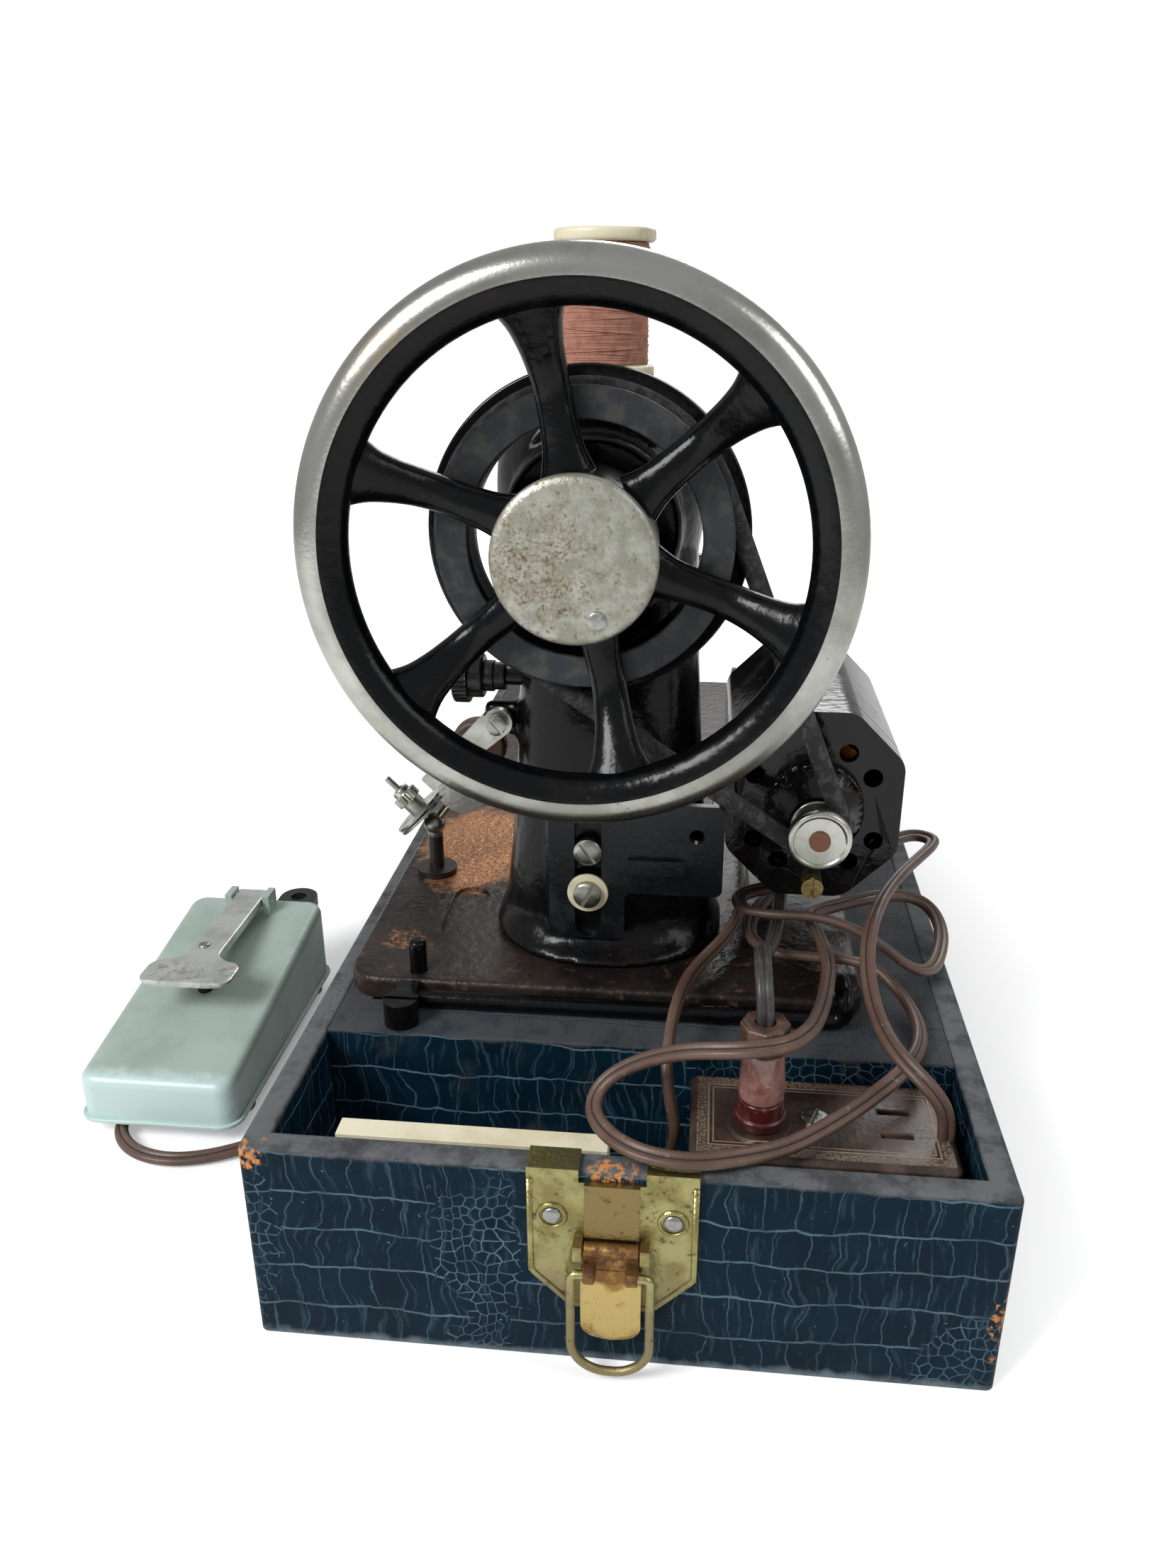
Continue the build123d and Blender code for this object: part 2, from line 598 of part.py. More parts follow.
# Arm casting: pillar, arm, near boss and head, hollow inside
# Height above the bed, width, depth and corner
PILLAR_SECTIONS = (
    (0.0, 84.0, 84.0, 34.0),
    (4.0, 80.0, 72.0, 31.0),
    (9.0, 77.0, 62.0, 28.0),
    (40.0, 69.0, 60.0, 25.0),
    (100.0, 61.0, 56.0, 21.0),
    (150.0, 58.0, 56.0, 18.0),
)
# Place along Y, width, height and how far the top lies under the arm's highest point
ARM_SECTIONS = (
    (-116.0, 54.0, 58.0, 1.5),
    (-50.0, 56.0, 60.0, 0.0),
    (45.0, 48.0, 54.0, 5.0),
    (140.0, 44.0, 48.0, 14.0),
)
INNER_ARM_SECTIONS = ((-108.0, *ARM_SECTIONS[0][1:]), *ARM_SECTIONS[1:3], (129.0, *ARM_SECTIONS[3][1:]))
ARM_CORNER = 20.0
HEAD_INSETS = ((HEAD_TOP_Z - HEAD_SHOULDER, 0.0), (HEAD_TOP_Z - HEAD_SHOULDER / 3, 3.0), (HEAD_TOP_Z, 9.0))
HOLLOW = 2 * CASTING_WALL
SHAFT_BORE = SHAFT_RADIUS + RUN + BUSH_WALL
MOUNT_X = -18.5
MOUNT_FRONT = -123.0
MOUNT_PAD = (28.0, 14.0)
MOUNT_SCREWS = (MOTOR_Z - 16.0, MOTOR_Z - 31.5)
MOUNT_SCREW = 3.0
MOUNT_HEAD = 4.7
MOUNT_HEAD_HEIGHT = 2.8
MOUNT_WASHER = 7.0
WINDER_Y = -99.0
WINDER_PIVOT = (-51.5, 157.0)
WINDER_PIN = 3.0
LUG_SIZE = 12.0
LUG_THICK = 6.0
STITCH_Y = -100.0
STITCH_Z = 172.0
STITCH_SHAFT = 3.0
STITCH_BORE_START = 38.0
STITCH_BORE = 20.0
LIFTER_Z = 160.0
LIFTER_X = SHAFT_X + HEAD_WIDTH / 2 + 6.0
TAKE_UP = (-5.0, 234.0)
with BuildPart() as arm:
    for lift, width, depth, corner in PILLAR_SECTIONS:
        with BuildSketch(Plane(origin=(PILLAR_X, PILLAR_Y, BED_Z + lift))):
            RectangleRounded(width, depth, corner)
    loft(ruled=True)
    for y, width, height, drop in ARM_SECTIONS:
        with BuildSketch(front_plane(y, SHAFT_X, ARM_TOP_Z - drop - height / 2)):
            RectangleRounded(width, height, ARM_CORNER)
    loft()
    drum_y(SHAFT_X, SHAFT_Z, ARM_NEAR_Y, ARM_NEAR_Y + BOSS_LENGTH, BOSS_RADIUS)
    with BuildSketch(Plane(origin=(SHAFT_X, (HEAD_START_Y + HEAD_END_Y) / 2, HEAD_BOTTOM_Z))):
        RectangleRounded(HEAD_WIDTH, HEAD_LENGTH, HEAD_CORNER)
    extrude(amount=HEAD_TOP_Z - HEAD_SHOULDER - HEAD_BOTTOM_Z)
    for z, inset in HEAD_INSETS:
        with BuildSketch(Plane(origin=(SHAFT_X, (HEAD_START_Y + HEAD_END_Y) / 2, z))):
            RectangleRounded(HEAD_WIDTH - 2 * inset, HEAD_LENGTH - 2 * inset, HEAD_CORNER)
    loft(ruled=True)
    pad_x = (MOUNT_X - MOUNT_PAD[0] / 2, MOUNT_X + MOUNT_PAD[0] / 2)
    block(pad_x, (MOUNT_FRONT, MOUNT_FRONT + MOUNT_PAD[1]), (BED_Z + 7.0, BED_Z + 57.0))
    for lift, width, depth, corner in PILLAR_SECTIONS:
        with BuildSketch(Plane(origin=(PILLAR_X, PILLAR_Y, BED_Z + lift))):
            RectangleRounded(width - HOLLOW, depth - HOLLOW, corner - CASTING_WALL)
    loft(ruled=True, mode=Mode.SUBTRACT)
    for y, width, height, drop in INNER_ARM_SECTIONS:
        with BuildSketch(front_plane(y, SHAFT_X, ARM_TOP_Z - drop - height / 2)):
            RectangleRounded(width - HOLLOW, height - HOLLOW, ARM_CORNER - CASTING_WALL)
    loft(mode=Mode.SUBTRACT)
    block(
        (SHAFT_X - HEAD_WIDTH / 2 + HEAD_WALL, SHAFT_X + HEAD_WIDTH / 2 - HEAD_WALL),
        (HEAD_START_Y + 6.0, HEAD_END_Y + 1.0),
        (HEAD_BOTTOM_Z + HEAD_FLOOR, HEAD_TOP_Z - HEAD_ROOF),
        Mode.SUBTRACT,
    )
    for bar_x in (SHAFT_X, PRESSER_X):
        drum(
            Plane(origin=(bar_x, NEEDLE_Y, HEAD_BOTTOM_Z + HEAD_FLOOR - 1.0)),
            BAR_SIZE + GUIDE_WALL,
            GUIDE_LENGTH,
        )
        drum(
            Plane(origin=(bar_x, NEEDLE_Y, HEAD_BOTTOM_Z - 1.0)),
            BAR_SIZE + RUN,
            GUIDE_LENGTH + HEAD_FLOOR + 2.0,
            Mode.SUBTRACT,
        )
    drum_y(SHAFT_X, SHAFT_Z, ARM_NEAR_Y - 1.0, HEAD_START_Y + 7.0, SHAFT_BORE, Mode.SUBTRACT)
    pin_seat = Plane(origin=(SHAFT_X, SPOOL_Y, ARM_TOP_Z - PIN_SINK))
    drum(pin_seat, PIN_BASE + RUN, 2 * PIN_SINK, Mode.SUBTRACT)
    drum_y(*TAKE_UP, HEAD_START_Y - 2.0, HEAD_START_Y + 7.0, PIN_RADIUS + RUN, Mode.SUBTRACT)
    stitch_bore = side_plane(PILLAR_X - STITCH_BORE_START, STITCH_Y, STITCH_Z)
    drum(stitch_bore, STITCH_SHAFT + RUN, STITCH_BORE, Mode.SUBTRACT)
    for side in (-1, 1):
        cheek = sorted((NEEDLE_Y + side * 3.4, NEEDLE_Y + side * 8.0))
        block(
            (SHAFT_X + HEAD_WIDTH / 2 - 2.0, LIFTER_X + 4.5),
            cheek,
            (LIFTER_Z - 6.0, LIFTER_Z + 6.0),
        )
    drum_y(LIFTER_X, LIFTER_Z, NEEDLE_Y - 9.0, NEEDLE_Y + 9.0, PIN_RADIUS + RUN, Mode.SUBTRACT)
    for screw_z in MOUNT_SCREWS:
        drum_y(MOUNT_X, screw_z, MOUNT_FRONT - 1.0, MOUNT_FRONT + 9.0, MOUNT_SCREW + RUN, Mode.SUBTRACT)

# The winder's lug is a piece of its own, bolted to the side of the pillar
with BuildPart() as winder_lug:
    block(
        (WINDER_PIVOT[0] - LUG_SIZE / 2, PILLAR_X - PILLAR_SECTIONS[-1][1] / 2 + CASTING_WALL / 2),
        (WINDER_Y - LUG_THICK / 2, WINDER_Y + LUG_THICK / 2),
        (WINDER_PIVOT[1] - LUG_SIZE / 2, WINDER_PIVOT[1] + LUG_SIZE / 2),
    )
    add(arm.part, mode=Mode.SUBTRACT)
    drum_y(*WINDER_PIVOT, WINDER_Y - LUG_THICK, WINDER_Y + LUG_THICK, WINDER_PIN + RUN, Mode.SUBTRACT)

FACE_TOP_Z = HEAD_TOP_Z - HEAD_SHOULDER / 2
with BuildPart() as face_plate:
    with BuildSketch(front_plane(HEAD_END_Y + FACE_PLATE, SHAFT_X, (HEAD_BOTTOM_Z + FACE_TOP_Z) / 2)):
        RectangleRounded(HEAD_WIDTH - 6.0, FACE_TOP_Z - HEAD_BOTTOM_Z, 8.0)
    extrude(amount=FACE_PLATE)
    block(
        (TAKE_UP[0] - 32.0, TAKE_UP[0] - 13.0),
        (HEAD_END_Y - 1.0, HEAD_END_Y + FACE_PLATE + 1.0),
        (TAKE_UP[1] - 30.0, TAKE_UP[1]),
        Mode.SUBTRACT,
    )

with BuildPart() as shaft_bushes:
    for low, high in ((ARM_NEAR_Y, ARM_NEAR_Y + 17.0), (HEAD_START_Y - 6.0, HEAD_START_Y + 6.0)):
        drum_y(SHAFT_X, SHAFT_Z, low, high, SHAFT_RADIUS + BUSH_WALL)
        drum_y(SHAFT_X, SHAFT_Z, low - 1.0, high + 1.0, SHAFT_RADIUS + RUN, Mode.SUBTRACT)

# Shaft, wheel, pulley and clutch
HUB_FRONT = RIM_Y - 4.0
HUB_BACK = ARM_NEAR_Y - 0.4
with BuildPart() as main_shaft:
    drum_y(SHAFT_X, SHAFT_Z, HUB_FRONT + 4.0, HEAD_START_Y + 8.0, SHAFT_RADIUS)
    drum_y(SHAFT_X, SHAFT_Z, HEAD_START_Y + 7.0, HEAD_START_Y + 13.0, CRANK_DISC)

# Radius, width, thickness and depth behind the rim's middle; the backs seat on the pulley ring
SPOKE_SECTIONS = (
    (16.0, 12.5, 10.0, -15.9),
    (30.0, 9.5, 9.0, -15.4),
    (44.0, 9.2, 9.0, -15.3),
    (50.0, 10.0, 9.0, -12.6),
    (57.0, 12.5, 9.0, -8.0),
    (63.0, 17.5, 8.8, -4.0),
    (68.0, 23.0, 8.5, -1.5),
)
with BuildPart() as spoke:
    for radius, width, thick, depth in SPOKE_SECTIONS:
        with BuildSketch(Plane(origin=(radius, 0, depth), x_dir=(0, 1, 0), z_dir=(1, 0, 0))):
            RectangleRounded(width, thick, 3.0)
    loft(ruled=True)

with BuildPart() as handwheel:
    with Locations(front_plane(RIM_Y, SHAFT_X, SHAFT_Z)):
        Torus(WHEEL_RADIUS - RIM_RADIUS, RIM_RADIUS)
        with PolarLocations(0, SPOKES, start_angle=SPOKE_START):
            add(spoke.part)
    drum_y(SHAFT_X, SHAFT_Z, HUB_FRONT, HUB_BACK, HUB_RADIUS)
    drum_y(SHAFT_X, SHAFT_Z, HUB_FRONT + 4.0, HUB_BACK + 1.0, SHAFT_RADIUS, Mode.SUBTRACT)

RING_FRONT = BELT_Y - 7.0
GROOVE_FLOOR = BELT_ON_WHEEL - BELT_RADIUS - BELT_GAP
with BuildPart() as belt_pulley:
    turned(
        SHAFT_X,
        SHAFT_Z,
        (
            (RING_FRONT, RING_INNER),
            (RING_FRONT, GROOVE_FLOOR + 4.3),
            (RING_FRONT + 2.0, GROOVE_FLOOR + 4.3),
            (RING_FRONT + 3.6, GROOVE_FLOOR),
            (BELT_Y + 3.4, GROOVE_FLOOR),
            (BELT_Y + 5.0, GROOVE_FLOOR + 9.3),
            (BELT_Y + 9.0, GROOVE_FLOOR + 9.3),
            (BELT_Y + 9.0, RING_INNER),
        ),
    )

CLUTCH_SCREW = (SHAFT_X + 6.6, SHAFT_Z - 15.6)
with BuildPart() as clutch_disc:
    turned(
        SHAFT_X,
        SHAFT_Z,
        (
            (HUB_FRONT - 0.1, 0.0),
            (HUB_FRONT - 0.1, CLUTCH_RADIUS),
            (HUB_FRONT - CLUTCH_THICK + 1.5, CLUTCH_RADIUS),
            (HUB_FRONT - CLUTCH_THICK, CLUTCH_RADIUS - 2.0),
            (HUB_FRONT - CLUTCH_THICK - 0.6, 0.0),
        ),
    )
    drum_y(*CLUTCH_SCREW, HUB_FRONT - 8.0, HUB_FRONT + 1.0, CLUTCH_SCREW_RADIUS + RUN, Mode.SUBTRACT)

with BuildPart() as clutch_screw:
    drum_y(*CLUTCH_SCREW, HUB_FRONT - CLUTCH_THICK - 0.6, HUB_FRONT - 0.1, CLUTCH_SCREW_RADIUS)

# Belt round both pulleys
reach_x = MOTOR_X - SHAFT_X
reach_z = MOTOR_Z - SHAFT_Z
lean = degrees(atan2(reach_z, reach_x))
wrap = degrees(acos((BELT_ON_WHEEL - BELT_ON_MOTOR) / hypot(reach_x, reach_z)))
with BuildPart() as drive_belt:
    with BuildLine(front_plane(BELT_Y)) as belt_path:
        wheel_arc = CenterArc((SHAFT_X, SHAFT_Z), BELT_ON_WHEEL, lean + wrap, 360 - 2 * wrap)
        motor_arc = CenterArc((MOTOR_X, MOTOR_Z), BELT_ON_MOTOR, lean - wrap, 2 * wrap)
        Line(wheel_arc @ 1, motor_arc @ 0)
        Line(motor_arc @ 1, wheel_arc @ 0)
    with BuildSketch(Plane(origin=belt_path.line @ 0, z_dir=belt_path.line % 0)):
        Circle(BELT_RADIUS)
    sweep()

# Motor
BODY_START = MOTOR_FRONT_Y + END_PLATE
BODY_END = BODY_START + MOTOR_LENGTH
PLATE_HOLE = 3.2
MOTOR_ROUND = 8.0
PLATE_HOLES = (
    (-19.8, 10.5),
    (18.6, 10.7),
    (10.2, 19.1),
    (-19.1, -12.7),
    (-10.6, -20.0),
    (20.5, -11.7),
    (12.8, -19.7),
)
with BuildPart() as motor_body:
    with BuildSketch(front_plane(BODY_END, MOTOR_X, MOTOR_Z)):
        Rectangle(MOTOR_WIDTH, MOTOR_HEIGHT)
    extrude(amount=MOTOR_LENGTH)
    chamfer(motor_body.edges().filter_by(Axis.Y), MOTOR_CORNER)
    fillet(motor_body.edges().filter_by(Axis.Y), MOTOR_ROUND)
    drum_y(MOTOR_X, MOTOR_Z, BODY_START - 1.0, BODY_END - 6.0, MOTOR_BORE, Mode.SUBTRACT)
    drum_y(MOTOR_X, MOTOR_Z, BODY_START, BODY_END - 2.0, MOTOR_SHAFT + RUN, Mode.SUBTRACT)

with BuildPart() as motor_end_plate:
    with BuildSketch(front_plane(BODY_START, MOTOR_X, MOTOR_Z)):
        Rectangle(MOTOR_WIDTH, MOTOR_HEIGHT)
    extrude(amount=END_PLATE)
    chamfer(motor_end_plate.edges().filter_by(Axis.Y), MOTOR_CORNER)
    fillet(motor_end_plate.edges().filter_by(Axis.Y), MOTOR_ROUND)
    drum_y(MOTOR_X, MOTOR_Z, MOTOR_FRONT_Y + 4.0, BODY_START + 1.0, MOTOR_WIDTH / 2 - 4.0, Mode.SUBTRACT)
    turned(
        MOTOR_X,
        MOTOR_Z,
        (
            (MOTOR_FRONT_Y + 4.0, 0.0),
            (MOTOR_FRONT_Y + 4.0, 17.0),
            (MOTOR_FRONT_Y - 5.0, 16.0),
            (MOTOR_FRONT_Y - 8.0, 13.0),
            (MOTOR_FRONT_Y - DOME_LENGTH, 9.0),
            (MOTOR_FRONT_Y - DOME_LENGTH, 0.0),
        ),
    )
    for hole_x, hole_z in PLATE_HOLES:
        hole = (MOTOR_X + hole_x, MOTOR_Z + hole_z)
        drum_y(*hole, MOTOR_FRONT_Y - 1.0, MOTOR_FRONT_Y + 5.0, PLATE_HOLE, Mode.SUBTRACT)
    drum_y(MOTOR_X, MOTOR_Z, MOTOR_FRONT_Y - 20.0, MOTOR_FRONT_Y + 8.0, MOTOR_SHAFT + RUN, Mode.SUBTRACT)

with BuildPart() as armature:
    drum_y(MOTOR_X, MOTOR_Z, BELT_Y - 9.0, BODY_END - 3.0, MOTOR_SHAFT)
    drum_y(MOTOR_X, MOTOR_Z, BODY_START + 6.0, BODY_END - 22.0, MOTOR_BORE - 0.6)
    drum_y(MOTOR_X, MOTOR_Z, BODY_END - 20.0, BODY_END - 10.0, 11.0)

GROOVE_CORE = BELT_ON_MOTOR - BELT_RADIUS - BELT_GAP
with BuildPart() as motor_pulley:
    turned(
        MOTOR_X,
        MOTOR_Z,
        (
            (BELT_Y - 8.0, 0.0),
            (BELT_Y - 8.0, GROOVE_CORE + 4.6),
            (BELT_Y - 7.0, GROOVE_CORE + 5.4),
            (BELT_Y - 4.6, GROOVE_CORE + 5.4),
            (BELT_Y - 3.4, GROOVE_CORE),
            (BELT_Y + 3.2, GROOVE_CORE),
            (BELT_Y + 3.6, GROOVE_CORE + 3.8),
            (BELT_Y + 4.8, GROOVE_CORE + 3.8),
            (BELT_Y + 4.8, 0.0),
        ),
    )
    drum_y(MOTOR_X, MOTOR_Z, BELT_Y - 10.0, BELT_Y + 6.0, MOTOR_SHAFT, Mode.SUBTRACT)

OIL_CAP = (MOTOR_X + 1.2, MOTOR_Z - 28.5)
OIL_CAP_RADIUS = 3.7
OIL_CAP_HEIGHT = 4.5
with BuildPart() as oil_cap:
    drum_y(*OIL_CAP, MOTOR_FRONT_Y - OIL_CAP_HEIGHT, MOTOR_FRONT_Y, OIL_CAP_RADIUS)
    block(
        (OIL_CAP[0] - 0.6, OIL_CAP[0] + 0.6),
        (MOTOR_FRONT_Y - OIL_CAP_HEIGHT - 0.5, MOTOR_FRONT_Y - OIL_CAP_HEIGHT + 1.3),
        (OIL_CAP[1] - OIL_CAP_RADIUS - 1.0, OIL_CAP[1] + OIL_CAP_RADIUS + 1.0),
        Mode.SUBTRACT,
    )

BRACKET = 3.0
BRACKET_CORNER = 2.5
BRACKET_FRONT = MOUNT_FRONT - BRACKET
MOTOR_LEFT = MOTOR_X - MOTOR_WIDTH / 2
with BuildPart() as motor_bracket:
    with BuildSketch(front_plane(MOUNT_FRONT)) as bracket_outline:
        with BuildLine():
            Polyline(
                (MOUNT_X - 13.5, MOTOR_Z - 49.5),
                (MOUNT_X + 12.5, MOTOR_Z - 49.5),
                (MOUNT_X + 12.5, MOTOR_Z - 31.5),
                (MOTOR_LEFT - 0.3, MOTOR_Z - 31.5),
                (MOTOR_LEFT - 0.3, MOTOR_Z + 1.5),
                (MOUNT_X + 12.5, MOTOR_Z + 1.5),
                (MOUNT_X + 12.5, MOTOR_Z - 3.5),
                (MOUNT_X - 13.5, MOTOR_Z - 3.5),
                close=True,
            )
        make_face()
        fillet(bracket_outline.vertices(), BRACKET_CORNER)
        with Locations((MOUNT_X, MOTOR_Z - 26.0)):
            SlotOverall(46.0, 9.0, rotation=90, mode=Mode.SUBTRACT)
        with Locations((18.0, MOTOR_Z - 9.5)):
            Circle(2.6, mode=Mode.SUBTRACT)
    extrude(amount=BRACKET)
    block(
        (MOTOR_LEFT - 4.3, MOTOR_LEFT - 0.3),
        (BRACKET_FRONT, BODY_START + 26.0),
        (MOTOR_Z - 25.5, MOTOR_Z - 1.5),
    )
    block((-5.0, 14.0), (BRACKET_FRONT - 2.0, BRACKET_FRONT), (MOTOR_Z - 23.5, MOTOR_Z - 18.0))

with BuildPart() as bracket_screws:
    for screw_z, washer in zip(MOUNT_SCREWS, (0.0, 1.4)):
        head = BRACKET_FRONT - washer
        drum_y(MOUNT_X, screw_z, BRACKET_FRONT, MOUNT_FRONT + 8.0, MOUNT_SCREW)
        drum_y(MOUNT_X, screw_z, head - MOUNT_HEAD_HEIGHT, head, MOUNT_HEAD)
        if washer:
            drum_y(MOUNT_X, screw_z, head, BRACKET_FRONT, MOUNT_WASHER)
        slot = (screw_z - 0.6, screw_z + 0.6)
        block((MOUNT_X - 6.0, MOUNT_X + 6.0), (head - 3.5, head - 1.8), slot, Mode.SUBTRACT)

# Needle bar, presser and their levers
NEEDLE_TOP = BED_Z + NEEDLE_REST + NEEDLE_LENGTH
with BuildPart() as needle_bar:
    drum(Plane(origin=(SHAFT_X, NEEDLE_Y, NEEDLE_TOP)), BAR_SIZE, NEEDLE_BAR_LENGTH)
    drum(Plane(origin=(SHAFT_X, NEEDLE_Y, NEEDLE_TOP)), NEEDLE_RADIUS, 8.0, Mode.SUBTRACT)

with BuildPart() as needle:
    drum(Plane(origin=(SHAFT_X, NEEDLE_Y, BED_Z + NEEDLE_REST + 4.0)), NEEDLE_RADIUS, NEEDLE_LENGTH + 3.0)
    with BuildSketch(Plane(origin=(SHAFT_X, NEEDLE_Y, BED_Z + NEEDLE_REST))):
        Circle(0.15)
    with BuildSketch(Plane(origin=(SHAFT_X, NEEDLE_Y, BED_Z + NEEDLE_REST + 4.0))):
        Circle(NEEDLE_RADIUS)
    loft()

FOOT_Z = BED_Z + SEAT
FOOT_HEIGHT = 18.0
PRESSER_BAR_LENGTH = 128.0
with BuildPart() as presser_bar:
    drum(Plane(origin=(PRESSER_X, NEEDLE_Y, FOOT_Z + FOOT_HEIGHT)), BAR_SIZE, PRESSER_BAR_LENGTH)

with BuildPart() as presser_foot:
    shank = (NEEDLE_Y - 4.5, NEEDLE_Y + 4.5)
    block((PRESSER_X - 5.5, PRESSER_X + 5.0), shank, (FOOT_Z + 8.0, FOOT_Z + FOOT_HEIGHT))
    block((SHAFT_X - 16.0, PRESSER_X + 2.0), (NEEDLE_Y - 6.5, NEEDLE_Y + 6.5), (FOOT_Z, FOOT_Z + 2.2))
    block((PRESSER_X - 5.5, PRESSER_X + 1.0), shank, (FOOT_Z + 2.0, FOOT_Z + 8.5))
    gap = (NEEDLE_Y - 2.0, NEEDLE_Y + 2.0)
    block((SHAFT_X - 17.0, SHAFT_X + 4.0), gap, (FOOT_Z - 1.0, FOOT_Z + 3.0), Mode.SUBTRACT)

with BuildPart() as lifter_lever:
    drum_y(LIFTER_X, LIFTER_Z, NEEDLE_Y - 8.5, NEEDLE_Y + 8.5, PIN_RADIUS)
    drum_y(LIFTER_X, LIFTER_Z, NEEDLE_Y - 3.0, NEEDLE_Y + 3.0, 5.0)
    with BuildSketch(front_plane(NEEDLE_Y + 2.0, LIFTER_X, LIFTER_Z)):
        with BuildLine():
            Polyline((-2.0, -4.0), (4.5, 0.0), (21.0, -22.0), (17.0, -26.0), close=True)
        make_face()
    extrude(amount=4.0)

EYE = (TAKE_UP[0] - 24.0, TAKE_UP[1] - 6.0)
with BuildPart() as take_up_lever:
    drum_y(*TAKE_UP, HEAD_START_Y, HEAD_END_Y - 4.0, PIN_RADIUS)
    with BuildSketch(front_plane(HEAD_END_Y - 4.0)):
        with BuildLine():
            Polyline(
                (TAKE_UP[0] + 1.0, TAKE_UP[1] + 4.0),
                (EYE[0], EYE[1] + 2.5),
                (EYE[0], EYE[1] - 2.5),
                (TAKE_UP[0] + 1.0, TAKE_UP[1] - 4.0),
                close=True,
            )
        make_face()
    extrude(amount=3.0)
    drum_y(EYE[0], EYE[1], HEAD_END_Y - 6.0, HEAD_END_Y + 12.0, 2.4)

# Stitch knob, bobbin winder and tension on the operator's side
# Start from the pillar's middle, radius and length: knob, flange, neck, collar and shaft
STITCH_STEPS = (
    (-53.0, 5.8, 5.0),
    (-48.0, 4.6, 3.5),
    (-45.0, 3.8, 8.0),
    (-39.0, 4.8, 4.0),
    (-45.0, STITCH_SHAFT, 24.0),
)
with BuildPart() as stitch_knob:
    for start, radius, length in STITCH_STEPS:
        drum(side_plane(PILLAR_X + start, STITCH_Y, STITCH_Z), radius, length)

WINDER_WHEEL = (-61.5, 143.0)
WINDER_TYRE = 10.0
LEVER_Y = (WINDER_Y - 7.5, WINDER_Y - 4.5)
with BuildPart() as winder_frame:
    drum_y(*WINDER_PIVOT, LEVER_Y[0] - 3.0, WINDER_Y + LUG_THICK / 2, WINDER_PIN)
    with BuildSketch(front_plane(LEVER_Y[1])):
        with Locations(WINDER_PIVOT):
            Circle(5.0)
        with Locations(WINDER_WHEEL):
            Circle(5.0)
        with BuildLine():
            Polyline(
                (WINDER_PIVOT[0] + 3.0, WINDER_PIVOT[1] - 4.0),
                (WINDER_PIVOT[0] - 5.0, WINDER_PIVOT[1] + 3.0),
                (WINDER_WHEEL[0] - 18.0, WINDER_WHEEL[1] - 8.0),
                (WINDER_WHEEL[0] - 14.0, WINDER_WHEEL[1] - 12.0),
                close=True,
            )
        make_face()
    extrude(amount=LEVER_Y[1] - LEVER_Y[0])
    drum_y(*WINDER_WHEEL, LEVER_Y[0] - 1.0, LEVER_Y[1] + 1.0, PIN_RADIUS + RUN, Mode.SUBTRACT)

with BuildPart() as winder_wheel:
    drum_y(*WINDER_WHEEL, LEVER_Y[0] - 2.0, LEVER_Y[1] + 30.0, PIN_RADIUS)
    drum_y(*WINDER_WHEEL, LEVER_Y[1] + 9.6, LEVER_Y[1] + 17.0, WINDER_TYRE)

TENSION_FOOT = (-86.5, -62.0)
TENSION_Z = 98.5
TENSION_TILT = radians(45.0)
TENSION_AXIS = (-sin(TENSION_TILT), 0.0, cos(TENSION_TILT))
TENSION_BALL = 4.4
TENSION_SPINDLE = 2.0
TENSION_TIP = 1.2
TENSION_DISC = 12.0
TENSION_SHEET = 1.0
GUIDE_DISC = 9.5
GUIDE_ROD = 1.8
GUIDE_OFFSET = (12.0, 15.3)
with BuildPart() as tension_unit:
    tension_foot = Plane(origin=(*TENSION_FOOT, BED_Z))
    drum(tension_foot, 8.0, 2.5)
    drum(tension_foot, 3.0, TENSION_Z - BED_Z)
    with Locations((*TENSION_FOOT, TENSION_Z)):
        Sphere(TENSION_BALL)
    tilted = Plane(origin=(*TENSION_FOOT, TENSION_Z), z_dir=TENSION_AXIS)
    drum(tilted, TENSION_SPINDLE, 20.0)
    drum(tilted, TENSION_TIP, 26.0)
    drum(tilted.offset(5.6), TENSION_DISC, TENSION_SHEET)
    drum(tilted.offset(7.4), TENSION_DISC, TENSION_SHEET)
    drum(tilted.offset(8.0), 4.0, 5.0)
    guide = Plane(origin=(*TENSION_FOOT, TENSION_Z), z_dir=(GUIDE_OFFSET[0], 0.0, GUIDE_OFFSET[1]))
    drum(guide, GUIDE_ROD, hypot(*GUIDE_OFFSET))
    guide_x, guide_z = TENSION_FOOT[0] + GUIDE_OFFSET[0], TENSION_Z + GUIDE_OFFSET[1]
    drum_y(guide_x, guide_z, TENSION_FOOT[1] - 2.4, TENSION_FOOT[1] - 1.2, GUIDE_DISC)
    drum_y(guide_x, guide_z, TENSION_FOOT[1] - 4.0, TENSION_FOOT[1] + GUIDE_ROD + 1.0, 2.5)

NUT_START = 13.2
with BuildPart() as tension_nut:
    drum(tilted.offset(NUT_START), 5.2, 4.0)
    drum(tilted.offset(NUT_START + 3.8), 3.6, 2.5)
    drum(tilted.offset(NUT_START - 0.2), TENSION_SPINDLE + RUN, 7.0, Mode.SUBTRACT)

# Spool and its pin
with BuildPart() as spool_pin:
    drum(pin_seat, PIN_BASE, PIN_SINK + SPOOL_LIFT - SEAT)
    drum(pin_seat, PIN_RADIUS, PIN_SINK + SPOOL_LIFT + SPOOL_HEIGHT - PIN_SHORT)

